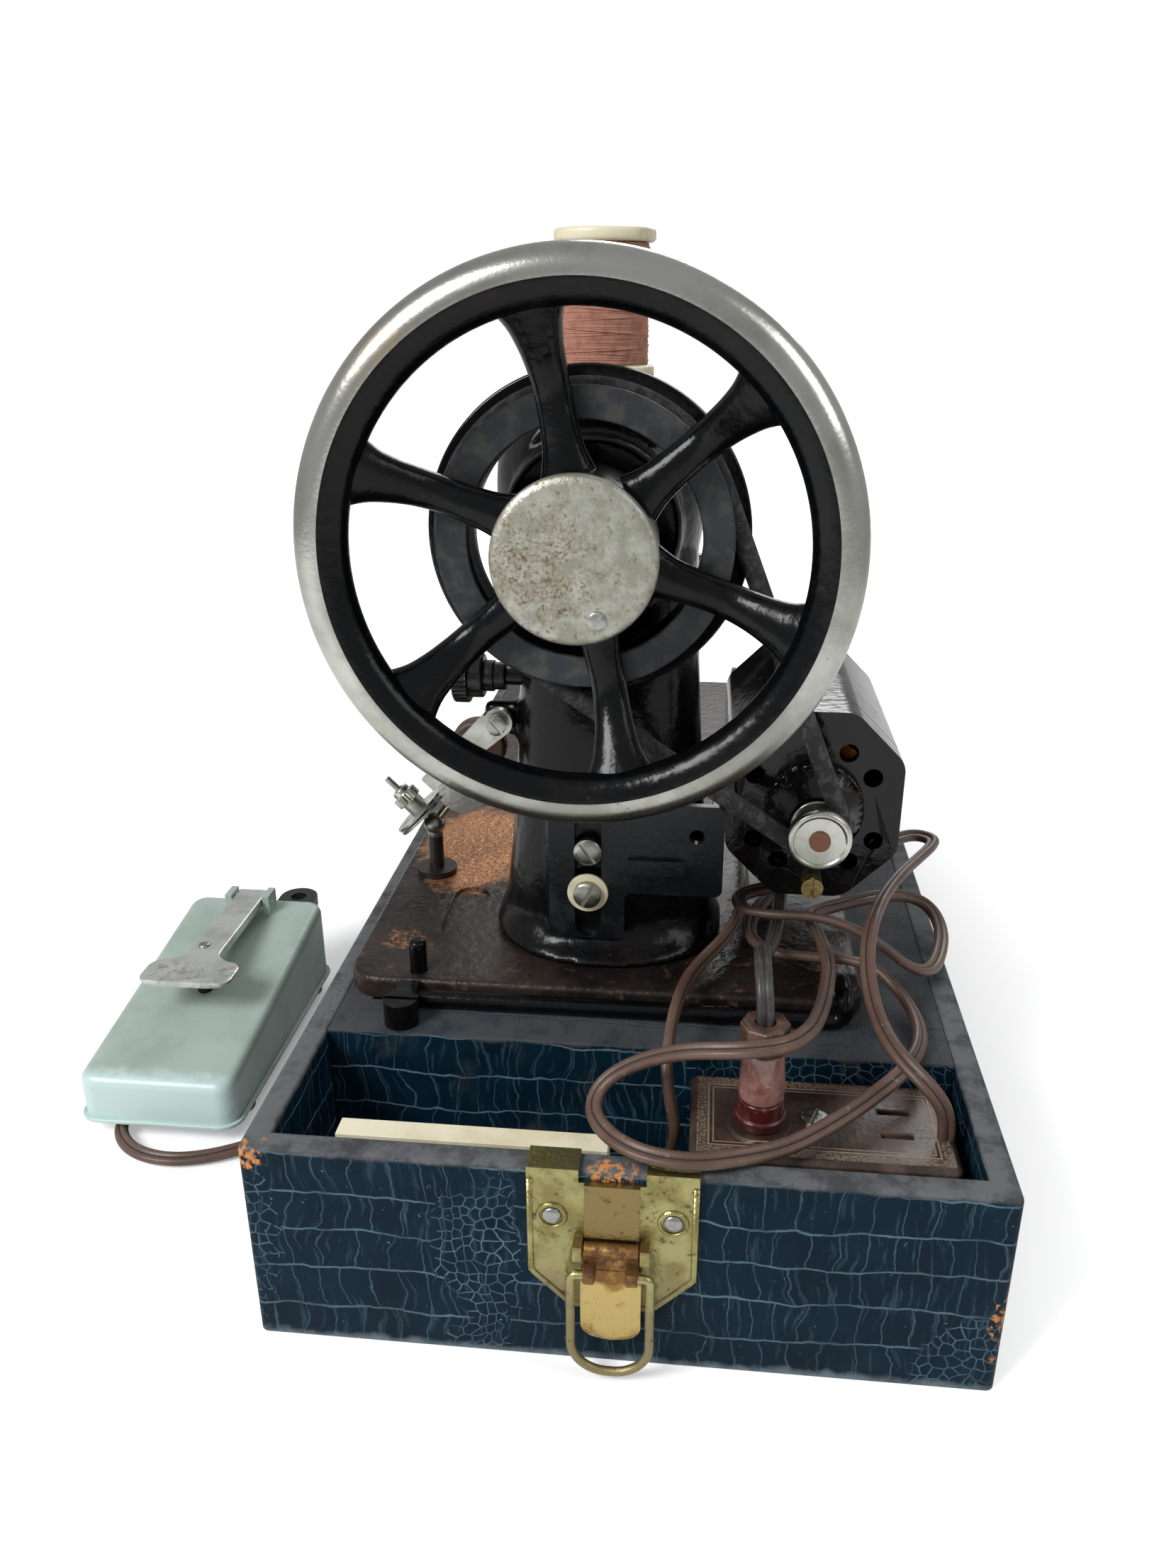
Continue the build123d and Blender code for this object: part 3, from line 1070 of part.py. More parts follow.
SPOOL_Z = ARM_TOP_Z + SPOOL_LIFT
with BuildPart() as thread_spool:
    spool_plane = Plane(origin=(SHAFT_X, SPOOL_Y, SPOOL_Z))
    drum(spool_plane, SPOOL_RADIUS, SPOOL_FLANGE)
    drum(spool_plane, SPOOL_BARREL, SPOOL_HEIGHT)
    drum(spool_plane.offset(SPOOL_HEIGHT - SPOOL_FLANGE), SPOOL_RADIUS, SPOOL_FLANGE)
    drum(spool_plane.offset(-1.0), PIN_RADIUS + RUN, SPOOL_HEIGHT + 2.0, Mode.SUBTRACT)


def winding(name, centre, radius, wire, pitch, loops, base_z):
    """One tube wound round an upright axis: each loop is a level half turn and a climbing one."""
    cx, cy = centre
    with BuildPart() as wound:
        with BuildLine() as path:
            z = base_z
            Line((cx - radius, cy + 2 * wire, z), (cx - radius, cy, z))
            for _ in range(loops):
                ThreePointArc((cx - radius, cy, z), (cx, cy - radius, z), (cx + radius, cy, z))
                rise = pitch / 2
                far = hypot(radius, rise)
                ThreePointArc((cx + radius, cy, z), (cx, cy + far, z + rise), (cx - radius, cy, z + pitch))
                z += pitch
            Line((cx - radius, cy, z), (cx - radius, cy - 2 * wire, z))
        with BuildSketch(Plane(origin=path.line @ 0, z_dir=path.line % 0)):
            Circle(wire)
        sweep()
    gap = pitch * radius / hypot(radius, pitch / 2) - 2 * wire
    print(name, "loops", loops, "least gap to itself", round(gap, 2))
    return wound


thread_height = THREAD_PITCH * THREAD_LOOPS
thread_start = SPOOL_Z + (SPOOL_HEIGHT - thread_height) / 2
spool_thread = winding(
    "spool_thread",
    (SHAFT_X, SPOOL_Y),
    SPOOL_BARREL + SEAT + THREAD_RADIUS,
    THREAD_RADIUS,
    THREAD_PITCH,
    THREAD_LOOPS,
    thread_start,
)

# Foot controller
LUG_HOLE_SIDE = 13.5
LUG_HOLE_OUT = 12.0
LUG_ROUND = 8.5
LUG_HOLE = 3.5
LUG_Z = 31.5
LUG_SHEET = 4.5
BASE_LIP = 1.4
FOOT_SIDE = 22.0
FOOT_RADIUS = 6.5
PLUNGER_FOOT = 20.0
SLOPE = (CONTROLLER_HIGH - CONTROLLER_LOW) / CONTROLLER_LENGTH
BASE_TOP = CONTROLLER_FOOT + CONTROLLER_SHEET


def wedge(inset, top_inset):
    """Side outline of the controller's shell, drawn in by a wall thickness."""
    with BuildSketch(side_plane(CONTROLLER_X - CONTROLLER_WIDTH / 2 + inset)) as outline:
        with BuildLine():
            Polyline(
                (CONTROLLER_FRONT_Y + inset, BASE_TOP),
                (CONTROLLER_FRONT_Y + inset, CONTROLLER_LOW - top_inset),
                (CONTROLLER_BACK_Y - inset, CONTROLLER_HIGH - top_inset),
                (CONTROLLER_BACK_Y - inset, BASE_TOP),
                close=True,
            )
        make_face()
    return outline.sketch


with BuildPart() as controller_shell:
    extrude(wedge(0.0, 0.0), amount=CONTROLLER_WIDTH)
    fillet(controller_shell.edges().filter_by(Axis.Z), 7.0)
    fillet(controller_shell.faces().filter_by(GeomType.PLANE).sort_by(Axis.Z)[-1].edges(), 4.0)
    hollow = wedge(CONTROLLER_SHEET + 3.5, CONTROLLER_SHEET + 1.5)
    extrude(hollow, amount=CONTROLLER_WIDTH - 2 * CONTROLLER_SHEET - 7.0, mode=Mode.SUBTRACT)
    drum(Plane(origin=(CONTROLLER_X, PLUNGER_Y, BASE_TOP)), PLUNGER_RADIUS + RUN, 40.0, Mode.SUBTRACT)
    lug_y = (CONTROLLER_BACK_Y - 2.0, CONTROLLER_BACK_Y + LUG_HOLE_OUT)
    lug_x = (CONTROLLER_X + LUG_HOLE_SIDE - LUG_ROUND, CONTROLLER_X + LUG_HOLE_SIDE + LUG_ROUND)
    block(lug_x, lug_y, (LUG_Z, LUG_Z + LUG_SHEET))
    lug_hole = Plane(origin=(CONTROLLER_X + LUG_HOLE_SIDE, CONTROLLER_BACK_Y + LUG_HOLE_OUT, LUG_Z))
    drum(lug_hole, LUG_ROUND, LUG_SHEET)
    drum(lug_hole.offset(-1.0), LUG_HOLE, LUG_SHEET + 2.0, Mode.SUBTRACT)
    for side in (-1, 1):
        ear = sorted(CONTROLLER_X + side * (PEDAL_WIDTH / 2 + reach) for reach in (0.4, PEDAL_EAR))
        block(ear, (PEDAL_HINGE_Y - 4.5, PEDAL_HINGE_Y + 4.5), (CONTROLLER_HIGH - 6.0, PEDAL_Z + 3.2))
    drum(
        side_plane(CONTROLLER_X - PEDAL_WIDTH, PEDAL_HINGE_Y, PEDAL_Z),
        PEDAL_PIN + RUN,
        2 * PEDAL_WIDTH,
        Mode.SUBTRACT,
    )

GLAND = (CONTROLLER_X + 1.5, -96.0, 2.8)
with BuildPart() as controller_base:
    block(
        (CONTROLLER_X - CONTROLLER_WIDTH / 2 - BASE_LIP, CONTROLLER_X + CONTROLLER_WIDTH / 2 + BASE_LIP),
        (CONTROLLER_FRONT_Y - BASE_LIP, CONTROLLER_BACK_Y + BASE_LIP),
        (CONTROLLER_FOOT, BASE_TOP),
    )
    fillet(controller_base.edges().filter_by(Axis.Z), 8.0)
    block((GLAND[0] - 4.5, GLAND[0] + 4.5), (GLAND[1], GLAND[1] + 12.0), (0.2, CONTROLLER_FOOT))

with BuildPart() as controller_feet:
    for side in (-1, 1):
        for foot_y in (CONTROLLER_FRONT_Y + 22.0, CONTROLLER_BACK_Y - 11.0):
            drum(Plane(origin=(CONTROLLER_X + side * FOOT_SIDE, foot_y, 0.0)), FOOT_RADIUS, CONTROLLER_FOOT)

with BuildPart() as pedal:
    drum(
        side_plane(CONTROLLER_X - PEDAL_WIDTH / 2 - PEDAL_EAR, PEDAL_HINGE_Y, PEDAL_Z),
        PEDAL_PIN,
        PEDAL_WIDTH + 2 * PEDAL_EAR,
    )
    block(
        (CONTROLLER_X - PEDAL_WIDTH / 2, CONTROLLER_X + PEDAL_WIDTH / 2),
        (PAD_FRONT_Y + PAD_LENGTH - 1.0, PEDAL_HINGE_Y + 4.0),
        (PEDAL_Z - PEDAL_SHEET, PEDAL_Z + PEDAL_SHEET),
    )
    block(
        (CONTROLLER_X - PAD_WIDTH / 2, CONTROLLER_X + PAD_WIDTH / 2),
        (PAD_FRONT_Y, PAD_FRONT_Y + PAD_LENGTH),
        (PEDAL_Z, PEDAL_Z + PEDAL_SHEET),
    )

with BuildPart() as plunger:
    drum(
        Plane(origin=(CONTROLLER_X, PLUNGER_Y, PLUNGER_FOOT)),
        PLUNGER_RADIUS,
        PEDAL_Z - PEDAL_SHEET - 0.4 - PLUNGER_FOOT,
    )
    fillet(plunger.edges().sort_by(Axis.Z)[-1], 1.2)

# Cords, as straight runs joined by arcs
MAINS_ROUTE = (
    (94, -193, 63), (94, -193, 71), (88.5, -191.5, 79), (80.5, -183, 83),
    (76, -170, 85), (74, -156, 89), (74, -143, 94.5), (77, -128, 98),
    (83, -109, 98.5), (91.5, -90, 98), (101, -72, 96.5), (107.5, -60.5, 96),
    (110, -52, 95.5), (103.5, -46.5, 95), (95, -51, 94.5), (84, -63, 94),
    (70, -80, 94), (56, -92, 94), (43, -96.5, 93.5), (33, -101, 92.5),
    (34, -111, 92), (45, -116, 93), (59, -118, 94.5), (70, -121.5, 93.5),
    (81, -125, 89), (91, -126.5, 81), (100, -119, 75), (106, -104, 73.5),
    (109.5, -88, 75), (106.5, -76, 79), (97, -74, 82), (86, -80, 84),
    (74, -85, 83), (63, -92, 83), (58.5, -103, 86), (61.5, -118, 87.3),
    (63.5, -136, 86), (61, -153, 86.5), (57.5, -172, 90.5), (53, -190, 95.5),
    (45.5, -203, 98.5), (32, -206.5, 98.5), (17, -200.5, 93.5), (3, -195, 85),
    (-7.5, -195, 77), (-10, -202.5, 72.4), (-4, -214, 72.8), (6, -221.5, 73.2),
    (20, -223.5, 73), (34, -219.5, 73), (47, -210.5, 70), (61, -197, 69),
    (74, -184.5, 70.5), (85, -173, 72.8), (91, -160, 73.2), (92, -146, 73.2),
    (88, -134, 75.5), (80.5, -126.5, 80.6), (69, -122.5, 81), (57, -122, 80.5),
    (45, -120, 80.3), (38, -111, 80.3), (38, -97, 80.3), (43.5, -82, 80.3),
    (52, -62, 80.3), (59, -25, 80.3), (58, 15, 80.3), (61, 60, 80.3),
    (60, 105, 80.3), (63, 150, 80.3), (61, 185, 80.3), (62, 210, 82.5),
    (62, 228, 80), (62, 236, 67), (62.5, 239, 47), (62, 241, 24),
    (60, 245, 10), (51, 251, 3.2), (38, 254.2, 2.8), (26, 252.2, 2.8),
    (COIL_X + 2 * CORD_RADIUS, COIL_Y, 2.8),
)
CONTROL_ROUTE = (
    (19, -190, 24), (11.5, -190, 24), (7, -190, 29.5), (8, -190, 39),
    (13, -190.5, 48), (15, -190, 58), (12.5, -188.5, 68), (11.2, -183.5, 76),
    (12, -172, 82), (14, -158, 84.5), (17, -145, 84.5), (21.5, -132.5, 83.5),
    (26.5, -123, 84), (31.5, -112, 85), (34.5, -99, 85.5), (36, -85, 85),
    (37, -66, 83), (36, -38, 80.4), (39, -2, 80.3), (36, 40, 80.3),
    (39, 85, 80.3), (36, 130, 80.3), (38, 170, 80.3), (36, 207, 82.3),
    (36, 226, 80), (35.5, 234, 67), (34, 236.5, 46), (32, 238, 24),
    (25, 240, 8), (12, 242, 2.9), (-10, 239, 2.8), (-45, 241, 2.8),
    (-80, 239, 2.8), (-104, 236, 2.8), (-117, 226, 2.8), (-121, 205, 2.8),
    (-119, 165, 2.8), (-122, 120, 2.8), (-119, 75, 2.8), (-122, 30, 2.8),
    (-119, -15, 2.8), (-123, -60, 2.8), (-121, -98, 2.8), (-126, -126, 2.8),
    (-138, -143, 2.8), (-153, -152.5, 2.8), (-169, -156.5, 2.8), (-184, -153, 2.8),
    (-194, -143, 2.8), (-196, -130, 2.8), (-188, -118, 2.8), (-177, -110, 2.8),
    (GLAND[0], GLAND[1], GLAND[2]),
)
LEAD_ROUTE = (
    (PLUG_X, PLUG_Y, PLUG_BASE_Z + PLUG_HEIGHT), (PLUG_X, PLUG_Y, 101), (38.8, -187, 110), (38.6, -175, 112),
    (39.5, -160, 105), (41.5, -145, 95), (44, -130, 88), (46.5, -116, 86.6),
    (48, -102, 86.4), (49, -90, 88), (50, -80, 94), (50, -80, MOTOR_Z - MOTOR_HEIGHT / 2),
)


def arc_radii(points):
    """Radius at each corner: a share of the shorter run over the tangent of half the turn."""
    radii = []
    for before, corner, after in zip(points, points[1:], points[2:]):
        run_in = Vector(*corner) - Vector(*before)
        run_out = Vector(*after) - Vector(*corner)
        turn = radians(run_in.get_angle(run_out))
        radii.append(ARC_SHARE * min(run_in.length, run_out.length) / tan(turn / 2))
    return radii


def cord(name, points):
    """Round cord along a route, with its arcs' radii and its volume printed."""
    radii = arc_radii(points)
    with BuildPart() as tube:
        with BuildLine() as path:
            FilletPolyline(*points, radius=radii)
        with BuildSketch(Plane(origin=path.line @ 0, z_dir=path.line % 0)):
            Circle(CORD_RADIUS)
        sweep()
    length = path.wire().length
    share = tube.part.volume / (pi * CORD_RADIUS**2 * length)
    print(name, "length", round(length), "volume share", round(share, 4))
    print("  least radius", round(min(radii), 1), "of", [round(r) for r in radii])
    return tube


mains_cord = cord("mains_cord", MAINS_ROUTE)
control_cord = cord("control_cord", CONTROL_ROUTE)
motor_lead = cord("motor_lead", LEAD_ROUTE)

# Put-away coil: in along the floor, up a layer, and out again
inward = [COIL_RADIUS - step * COIL_PITCH / 2 for step in range(2 * COIL_TURNS_DOWN)]
climb = inward[-1] - COIL_PITCH / 2
half_turns = [(r, 0.0) for r in inward] + [(climb, COIL_PITCH)] + [(r, 0.0) for r in reversed(inward)]
coil_z = MAINS_ROUTE[-1][2]
with BuildPart() as mains_coil:
    with BuildLine() as coil_path:
        here_y, side = COIL_Y, 1
        Line((COIL_X + 2 * CORD_RADIUS, COIL_Y, coil_z), (COIL_X, COIL_Y, coil_z))
        for radius, rise in half_turns:
            bulge = hypot(radius, rise / 2)
            there_y = here_y + side * 2 * radius
            ThreePointArc(
                (COIL_X, here_y, coil_z),
                (COIL_X - side * bulge, (here_y + there_y) / 2, coil_z + rise / 2),
                (COIL_X, there_y, coil_z + rise),
            )
            here_y, side, coil_z = there_y, -side, coil_z + rise
        Line((COIL_X, here_y, coil_z), (COIL_X + 2 * CORD_RADIUS, here_y, coil_z))
    with BuildSketch(Plane(origin=coil_path.line @ 0, z_dir=coil_path.line % 0)):
        Circle(CORD_RADIUS)
    sweep()
COIL_END = (COIL_X + 2 * CORD_RADIUS, here_y, coil_z)
coil_gap = COIL_PITCH - 2 * CORD_RADIUS
print("mains_coil length", round(coil_path.wire().length), "least gap to itself", round(coil_gap, 2))

MAINS_PLUG_WIDTH = 26.0
MAINS_PLUG_LENGTH = 30.0
PLUG_PIN_ROW = 6.5
PLUG_PIN_RADIUS = 2.3
PLUG_PIN_LENGTH = 17.0
with BuildPart() as mains_plug:
    plug_back = COIL_END[0] + RELIEF_LENGTH
    plug_y = (COIL_END[1] - MAINS_PLUG_WIDTH / 2, COIL_END[1] + MAINS_PLUG_WIDTH / 2)
    block((plug_back, plug_back + MAINS_PLUG_LENGTH), plug_y, (SEAT, 2 * COIL_END[2] - SEAT))
    fillet(mains_plug.edges().filter_by(Axis.X), 5.0)
    for row in (-PLUG_PIN_ROW, PLUG_PIN_ROW):
        pin_root = side_plane(plug_back + MAINS_PLUG_LENGTH - 1.0, COIL_END[1] + row, COIL_END[2])
        drum(pin_root, PLUG_PIN_RADIUS, PLUG_PIN_LENGTH)
    with BuildSketch(side_plane(COIL_END[0], COIL_END[1], COIL_END[2])):
        Circle(CORD_RADIUS + 0.3)
    with BuildSketch(side_plane(plug_back, COIL_END[1], COIL_END[2])):
        Circle(CORD_RADIUS + 2.4)
    loft()

PIECES = {
    "case_walls": case_walls,
    "case_floor": case_floor,
    "tray_partition": tray_partition,
    "bed_rails": bed_rails,
    "latch_plate": latch_plate,
    "latch_rivets": latch_rivets,
    "latch_lever": latch_lever,
    "latch_bail": latch_bail,
    "terminal_block": terminal_block,
    "block_screw": block_screw,
    "instruction_card": instruction_card,
    "connector_plug": connector_plug,
    "bed": bed,
    "corner_pin": corner_pin,
    "throat_plate": throat_plate,
    "slide_plate": slide_plate,
    "feed_dog": feed_dog,
    "hook_shaft": hook_shaft,
    "hold_down_bar": hold_down_bar,
    "bar_post": bar_post,
    "arm": arm,
    "face_plate": face_plate,
    "shaft_bushes": shaft_bushes,
    "main_shaft": main_shaft,
    "handwheel": handwheel,
    "belt_pulley": belt_pulley,
    "clutch_disc": clutch_disc,
    "clutch_screw": clutch_screw,
    "drive_belt": drive_belt,
    "motor_body": motor_body,
    "motor_end_plate": motor_end_plate,
    "armature": armature,
    "motor_pulley": motor_pulley,
    "oil_cap": oil_cap,
    "motor_bracket": motor_bracket,
    "bracket_screws": bracket_screws,
    "needle_bar": needle_bar,
    "needle": needle,
    "presser_bar": presser_bar,
    "presser_foot": presser_foot,
    "lifter_lever": lifter_lever,
    "take_up_lever": take_up_lever,
    "stitch_knob": stitch_knob,
    "winder_frame": winder_frame,
    "winder_wheel": winder_wheel,
    "tension_unit": tension_unit,
    "tension_nut": tension_nut,
    "spool_pin": spool_pin,
    "thread_spool": thread_spool,
    "spool_thread": spool_thread,
    "controller_shell": controller_shell,
    "controller_base": controller_base,
    "controller_feet": controller_feet,
    "pedal": pedal,
    "plunger": plunger,
    "mains_cord": mains_cord,
    "control_cord": control_cord,
    "motor_lead": motor_lead,
    "mains_coil": mains_coil,
    "mains_plug": mains_plug,
}

shapes = {node: piece.part for node, piece in PIECES.items()}
shapes["arm"] = Compound([*arm.part.solids(), *winder_lug.part.solids()])
os.makedirs("parts", exist_ok=True)
for node, shape in shapes.items():
    shape.label = node
    export_step(shape, f"parts/{node}.step")
    print(node, "volume", round(shape.volume), "solids", len(shape.solids()))
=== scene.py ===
# %% [markdown]
# # A portable sewing machine in its travelling case
# The object is a black cast-iron machine that stands in the lower half of a covered wooden
# case, with a motor hung on its right, brown leads that lie over everything, and a foot
# controller on the floor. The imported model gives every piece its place. This lesson dresses it:
# smooth castings, embossed covering, worn nickel and brass, wound thread and real cords.

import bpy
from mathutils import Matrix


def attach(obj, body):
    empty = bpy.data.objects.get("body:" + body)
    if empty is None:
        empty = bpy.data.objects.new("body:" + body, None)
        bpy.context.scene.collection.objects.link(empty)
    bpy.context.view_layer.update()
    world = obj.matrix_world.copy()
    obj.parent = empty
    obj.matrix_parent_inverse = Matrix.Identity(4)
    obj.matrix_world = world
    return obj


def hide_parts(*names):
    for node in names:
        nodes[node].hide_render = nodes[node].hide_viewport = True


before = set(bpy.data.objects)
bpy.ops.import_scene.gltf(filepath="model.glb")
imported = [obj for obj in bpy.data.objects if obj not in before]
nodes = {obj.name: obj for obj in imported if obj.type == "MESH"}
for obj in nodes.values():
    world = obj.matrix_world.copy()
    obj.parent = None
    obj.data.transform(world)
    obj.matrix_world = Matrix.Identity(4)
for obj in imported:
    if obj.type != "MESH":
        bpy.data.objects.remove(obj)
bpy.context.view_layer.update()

from math import cos, pi, radians, sin

import bmesh
import bpy
import numpy as np
from mathutils import Matrix, Vector

MM = 0.001
print("pieces in the frame:", len(nodes))

# %% [markdown]
# ## Looking at it as the photograph does
# The camera was found from the case's edges and the handwheel. It stands low in front of the
# wheel end and looks slightly down. Lengths are in millimetres until a mesh is made.

# %% Camera
CAMERA_PLACE = (19.0, -485.5, 290.8)
CAMERA_RIGHT = (0.99471, 0.10273, -0.00195)
CAMERA_UP = (-0.03692, 0.37506, 0.92627)
CAMERA_BACK = (0.09589, -0.92129, 0.37686)
LENS = 27.21
camera = bpy.data.objects.new("camera", bpy.data.cameras.new("camera"))
camera.data.sensor_fit = "VERTICAL"
camera.data.sensor_height = 36.0
camera.data.lens = LENS
turn = Matrix((CAMERA_RIGHT, CAMERA_UP, CAMERA_BACK)).transposed()
camera.matrix_world = Matrix.Translation(Vector(CAMERA_PLACE) * MM) @ turn.to_4x4()
bpy.context.collection.objects.link(camera)
bpy.context.scene.camera = camera
bpy.context.scene.view_settings.view_transform = "Standard"

# %% [markdown]
# ## Making meshes from arrays
# Most shapes here are grids of points: rings that follow each other along a path. A few helpers
# turn such an array into a closed mesh, give it to a body of the frame, and hide the packed
# nodes it stands for.

# %% From arrays to pieces
MERGE = 1e-6
EDGE_ANGLE = 35


def grid_faces(rows, cols, closed=False):
    """Quads of a grid: point (i, j) joins (i, j+1), (i+1, j+1), (i+1, j). Closed: a row is a ring."""
    i, j = np.meshgrid(np.arange(rows - 1), np.arange(cols - 1 + closed), indexing="ij")
    k = (j + 1) % cols
    quads = np.stack([i * cols + j, i * cols + k, (i + 1) * cols + k, (i + 1) * cols + j], -1)
    return quads.reshape(-1, 4).tolist()


def cap_faces(first, around, centre):
    """Triangles from one ring to a centre point."""
    j = np.arange(around)
    return np.stack([first + j, first + (j + 1) % around, np.full(around, centre)], -1).tolist()


def handed_over(name, mesh, sharp, material, body, replaces):
    """Shades a mesh smooth below an angle and hands it, as a piece, to its body of the frame."""
    mesh.shade_smooth()
    mesh.set_sharp_from_angle(angle=radians(sharp))
    mesh.materials.append(material)
    piece = bpy.data.objects.new(name, mesh)
    bpy.context.collection.objects.link(piece)
    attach(piece, body)
    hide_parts(*replaces)
    return piece


def make_piece(name, points, faces, material, body, slot, *replaces, uv=None, sharp=40.0):
    """A piece from points in millimetres. Equal points are merged and faces turned outwards."""
    mesh = bpy.data.meshes.new(name)
    mesh.from_pydata((np.asarray(points) * MM).tolist(), [], faces)
    if uv is not None:
        layer = mesh.uv_layers.new(name="along")
        corners = np.empty(len(mesh.loops), np.int32)
        mesh.loops.foreach_get("vertex_index", corners)
        layer.data.foreach_set("uv", (np.asarray(uv) * MM)[corners].astype(np.float32).ravel())
    work = bmesh.new()
    work.from_mesh(mesh)
    bmesh.ops.remove_doubles(work, verts=work.verts, dist=MERGE)
    bmesh.ops.recalc_face_normals(work, faces=work.faces)
    work.to_mesh(mesh)
    work.free()
    return handed_over(name, mesh, sharp, material, body, replaces)


def skinned(rings, closed=False):
    """Points and faces of a tube through rings of shape (n, m, 3), with its ends capped or joined."""
    rings = np.asarray(rings, float)
    count, around = rings.shape[:2]
    if closed:
        rings = np.concatenate([rings, rings[:1]])
        return rings.reshape(-1, 3), grid_faces(count + 1, around, True)
    points = np.concatenate([rings.reshape(-1, 3), rings[:1].mean(1), rings[-1:].mean(1)])
    faces = grid_faces(count, around, True) + cap_faces(0, around, count * around)
    return points, faces + cap_faces((count - 1) * around, around, count * around + 1)


def joined(*shapes):
    """Several (points, faces) as one."""
    points, faces, start = [], [], 0
    for shape_points, shape_faces in shapes:
        points.append(np.asarray(shape_points))
        faces += [[start + index for index in face] for face in shape_faces]
        start += len(shape_points)
    return np.concatenate(points), faces


# %% [markdown]
# ## Rounded outlines
# Real metal has no knife edges. Every profile passes through one function that swaps each
# corner for a short arc, so lathe work and sheet metal catch a thin line of light there.


# %% Outlines, lathe work and sweeps
def rounded(corners, radius, steps=3, closed=True):
    """Each corner is replaced by a quadratic arc that starts and ends a radius away from it.

    Where a side is short, the arc takes no more than 0.45 of it.
    """
    corners = np.asarray(corners, float)
    radius = np.broadcast_to(radius, len(corners))
    out = []
    for k, corner in enumerate(corners):
        if not closed and k in (0, len(corners) - 1):
            out.append(corner[None])
            continue
        sides = [corners[k - 1] - corner, corners[(k + 1) % len(corners)] - corner]
        lengths = [np.linalg.norm(side) for side in sides]
        reach = min(radius[k], 0.45 * min(lengths))
        start, end = (corner + side / length * reach for side, length in zip(sides, lengths))
        t = np.linspace(0, 1, steps + 1)[:, None]
        out.append((1 - t) ** 2 * start + 2 * t * (1 - t) * corner + t**2 * end)
    return np.concatenate(out)


def lathe(profile, centre, axis="Y", segments=96, knurl=None):
    """Profile of (along, radius) turned about an axis: first = c + r cos a, second = c + r sin a.

    A profile that starts on the axis makes a solid, any other a ring. knurl is (count, depth,
    low, high): between low and high, r loses depth * (1 + cos count a) / 2.
    """
    along, radius = np.asarray(profile, float).T
    a = np.arange(segments) * 2 * pi / segments
    run = np.broadcast_to(along[:, None], (len(along), segments))
    radius = np.broadcast_to(radius[:, None], run.shape)
    if knurl:
        count, deep, low, high = knurl
        milled = (run >= low) & (run <= high)
        radius = radius - milled * deep * (1 + np.cos(count * a)) / 2
    first, second = centre[0] + radius * np.cos(a), centre[1] + radius * np.sin(a)
    order = {"X": (run, first, second), "Y": (first, run, second), "Z": (first, second, run)}[axis]
    return skinned(np.stack(order, -1), closed=profile[0][1] > 0)


def turned(corners, radii, centre, axis="Y", segments=96, steps=3, knurl=None):
    """Lathe work with rounded corners. The two ends of a solid's profile stay on the axis."""
    return lathe(rounded(corners, radii, steps, corners[0][1] > 0), centre, axis, segments, knurl)


def rod(low, high, radius, soft, centre, axis, segments):
    """Round bar from low to high along an axis, with soft edges at its ends."""
    corners = [(low, 0), (low, radius), (high, radius), (high, 0)]
    return turned(corners, (0, soft, soft, 0), centre, axis, segments)


def plan_loops(x, y, profile, corner, runs=1, least=0.3):
    """Rounded rectangles stacked by a profile of (inset, z). runs divides their straight sides."""
    quarter = np.linspace(0, pi / 2, 6)
    t = np.linspace(0, 1, runs + 1)[1:-1, None]
    loops = []
    for inset, z in profile:
        r = max(corner - inset, least)
        x0, x1, y0, y1 = x[0] + inset + r, x[1] - inset - r, y[0] + inset + r, y[1] - inset - r
        arcs = [
            np.stack([cx + r * np.cos(quarter + a), cy + r * np.sin(quarter + a)], -1)
            for cx, cy, a in ((x1, y1, 0), (x0, y1, pi / 2), (x0, y0, pi), (x1, y0, 3 * pi / 2))
        ]
        plan = []
        for arc, after in zip(arcs, arcs[1:] + arcs[:1]):
            plan += [arc, arc[-1] * (1 - t) + after[0] * t]
        plan = np.concatenate(plan)
        loops.append(np.c_[plan, np.full(len(plan), z)])
    return np.array(loops)


def slab(x, y, z, corner=1.0, edge=0.5):
    """Block with rounded upright corners and small quarter rounds at its top and bottom edges."""
    quarter = np.linspace(0, pi / 2, 4)
    low = [(edge * (1 - np.sin(q)), z[0] + edge * (1 - np.cos(q))) for q in quarter]
    high = [(edge * (1 - np.cos(q)), z[1] - edge * (1 - np.sin(q))) for q in quarter]
    return skinned(plan_loops(x, y, low + high, corner))


def bent_sheet(x_middle, half_width, z, front, thick, bulge, bow=0.0, rows=30, cols=17):
    """Sheet that faces -Y: y = front - bulge (1 - u^2) - bow sin(pi v).

    u goes from -1 to 1 across it, v from 0 to 1 up it, with its rows closer at the foot.
    """
    v, u = np.linspace(0, 1, rows)[:, None] ** 1.7, np.linspace(-1, 1, cols)[None]
    height = z[0] + (z[1] - z[0]) * v + 0 * u
    half = half_width(height)
    near = np.stack([x_middle + half * u, front - bulge * (1 - u**2) - bow * np.sin(pi * v), height], -1)
    far = near + np.array([0.0, thick, 0.0])
    return skinned(np.concatenate([near, far[:, ::-1]], axis=1))


def smooth_between(x, places, values):
    """Cubic Hermite curve through values at places, with slopes from the neighbours."""
    places, values = np.asarray(places, float), np.asarray(values, float)
    slope = np.gradient(values, places)
    k = np.clip(np.searchsorted(places, x) - 1, 0, len(places) - 2)
    h = places[k + 1] - places[k]
    t = (x - places[k]) / h
    return (
        (2 * t**3 - 3 * t**2 + 1) * values[k]
        + (t**3 - 2 * t**2 + t) * h * slope[k]
        + (3 * t**2 - 2 * t**3) * values[k + 1]
        + (t**3 - t**2) * h * slope[k + 1]
    )


def run_length(points):
    """How far along a line each of its points lies."""
    return np.r_[0, np.cumsum(np.linalg.norm(np.diff(points, axis=0), axis=1))]


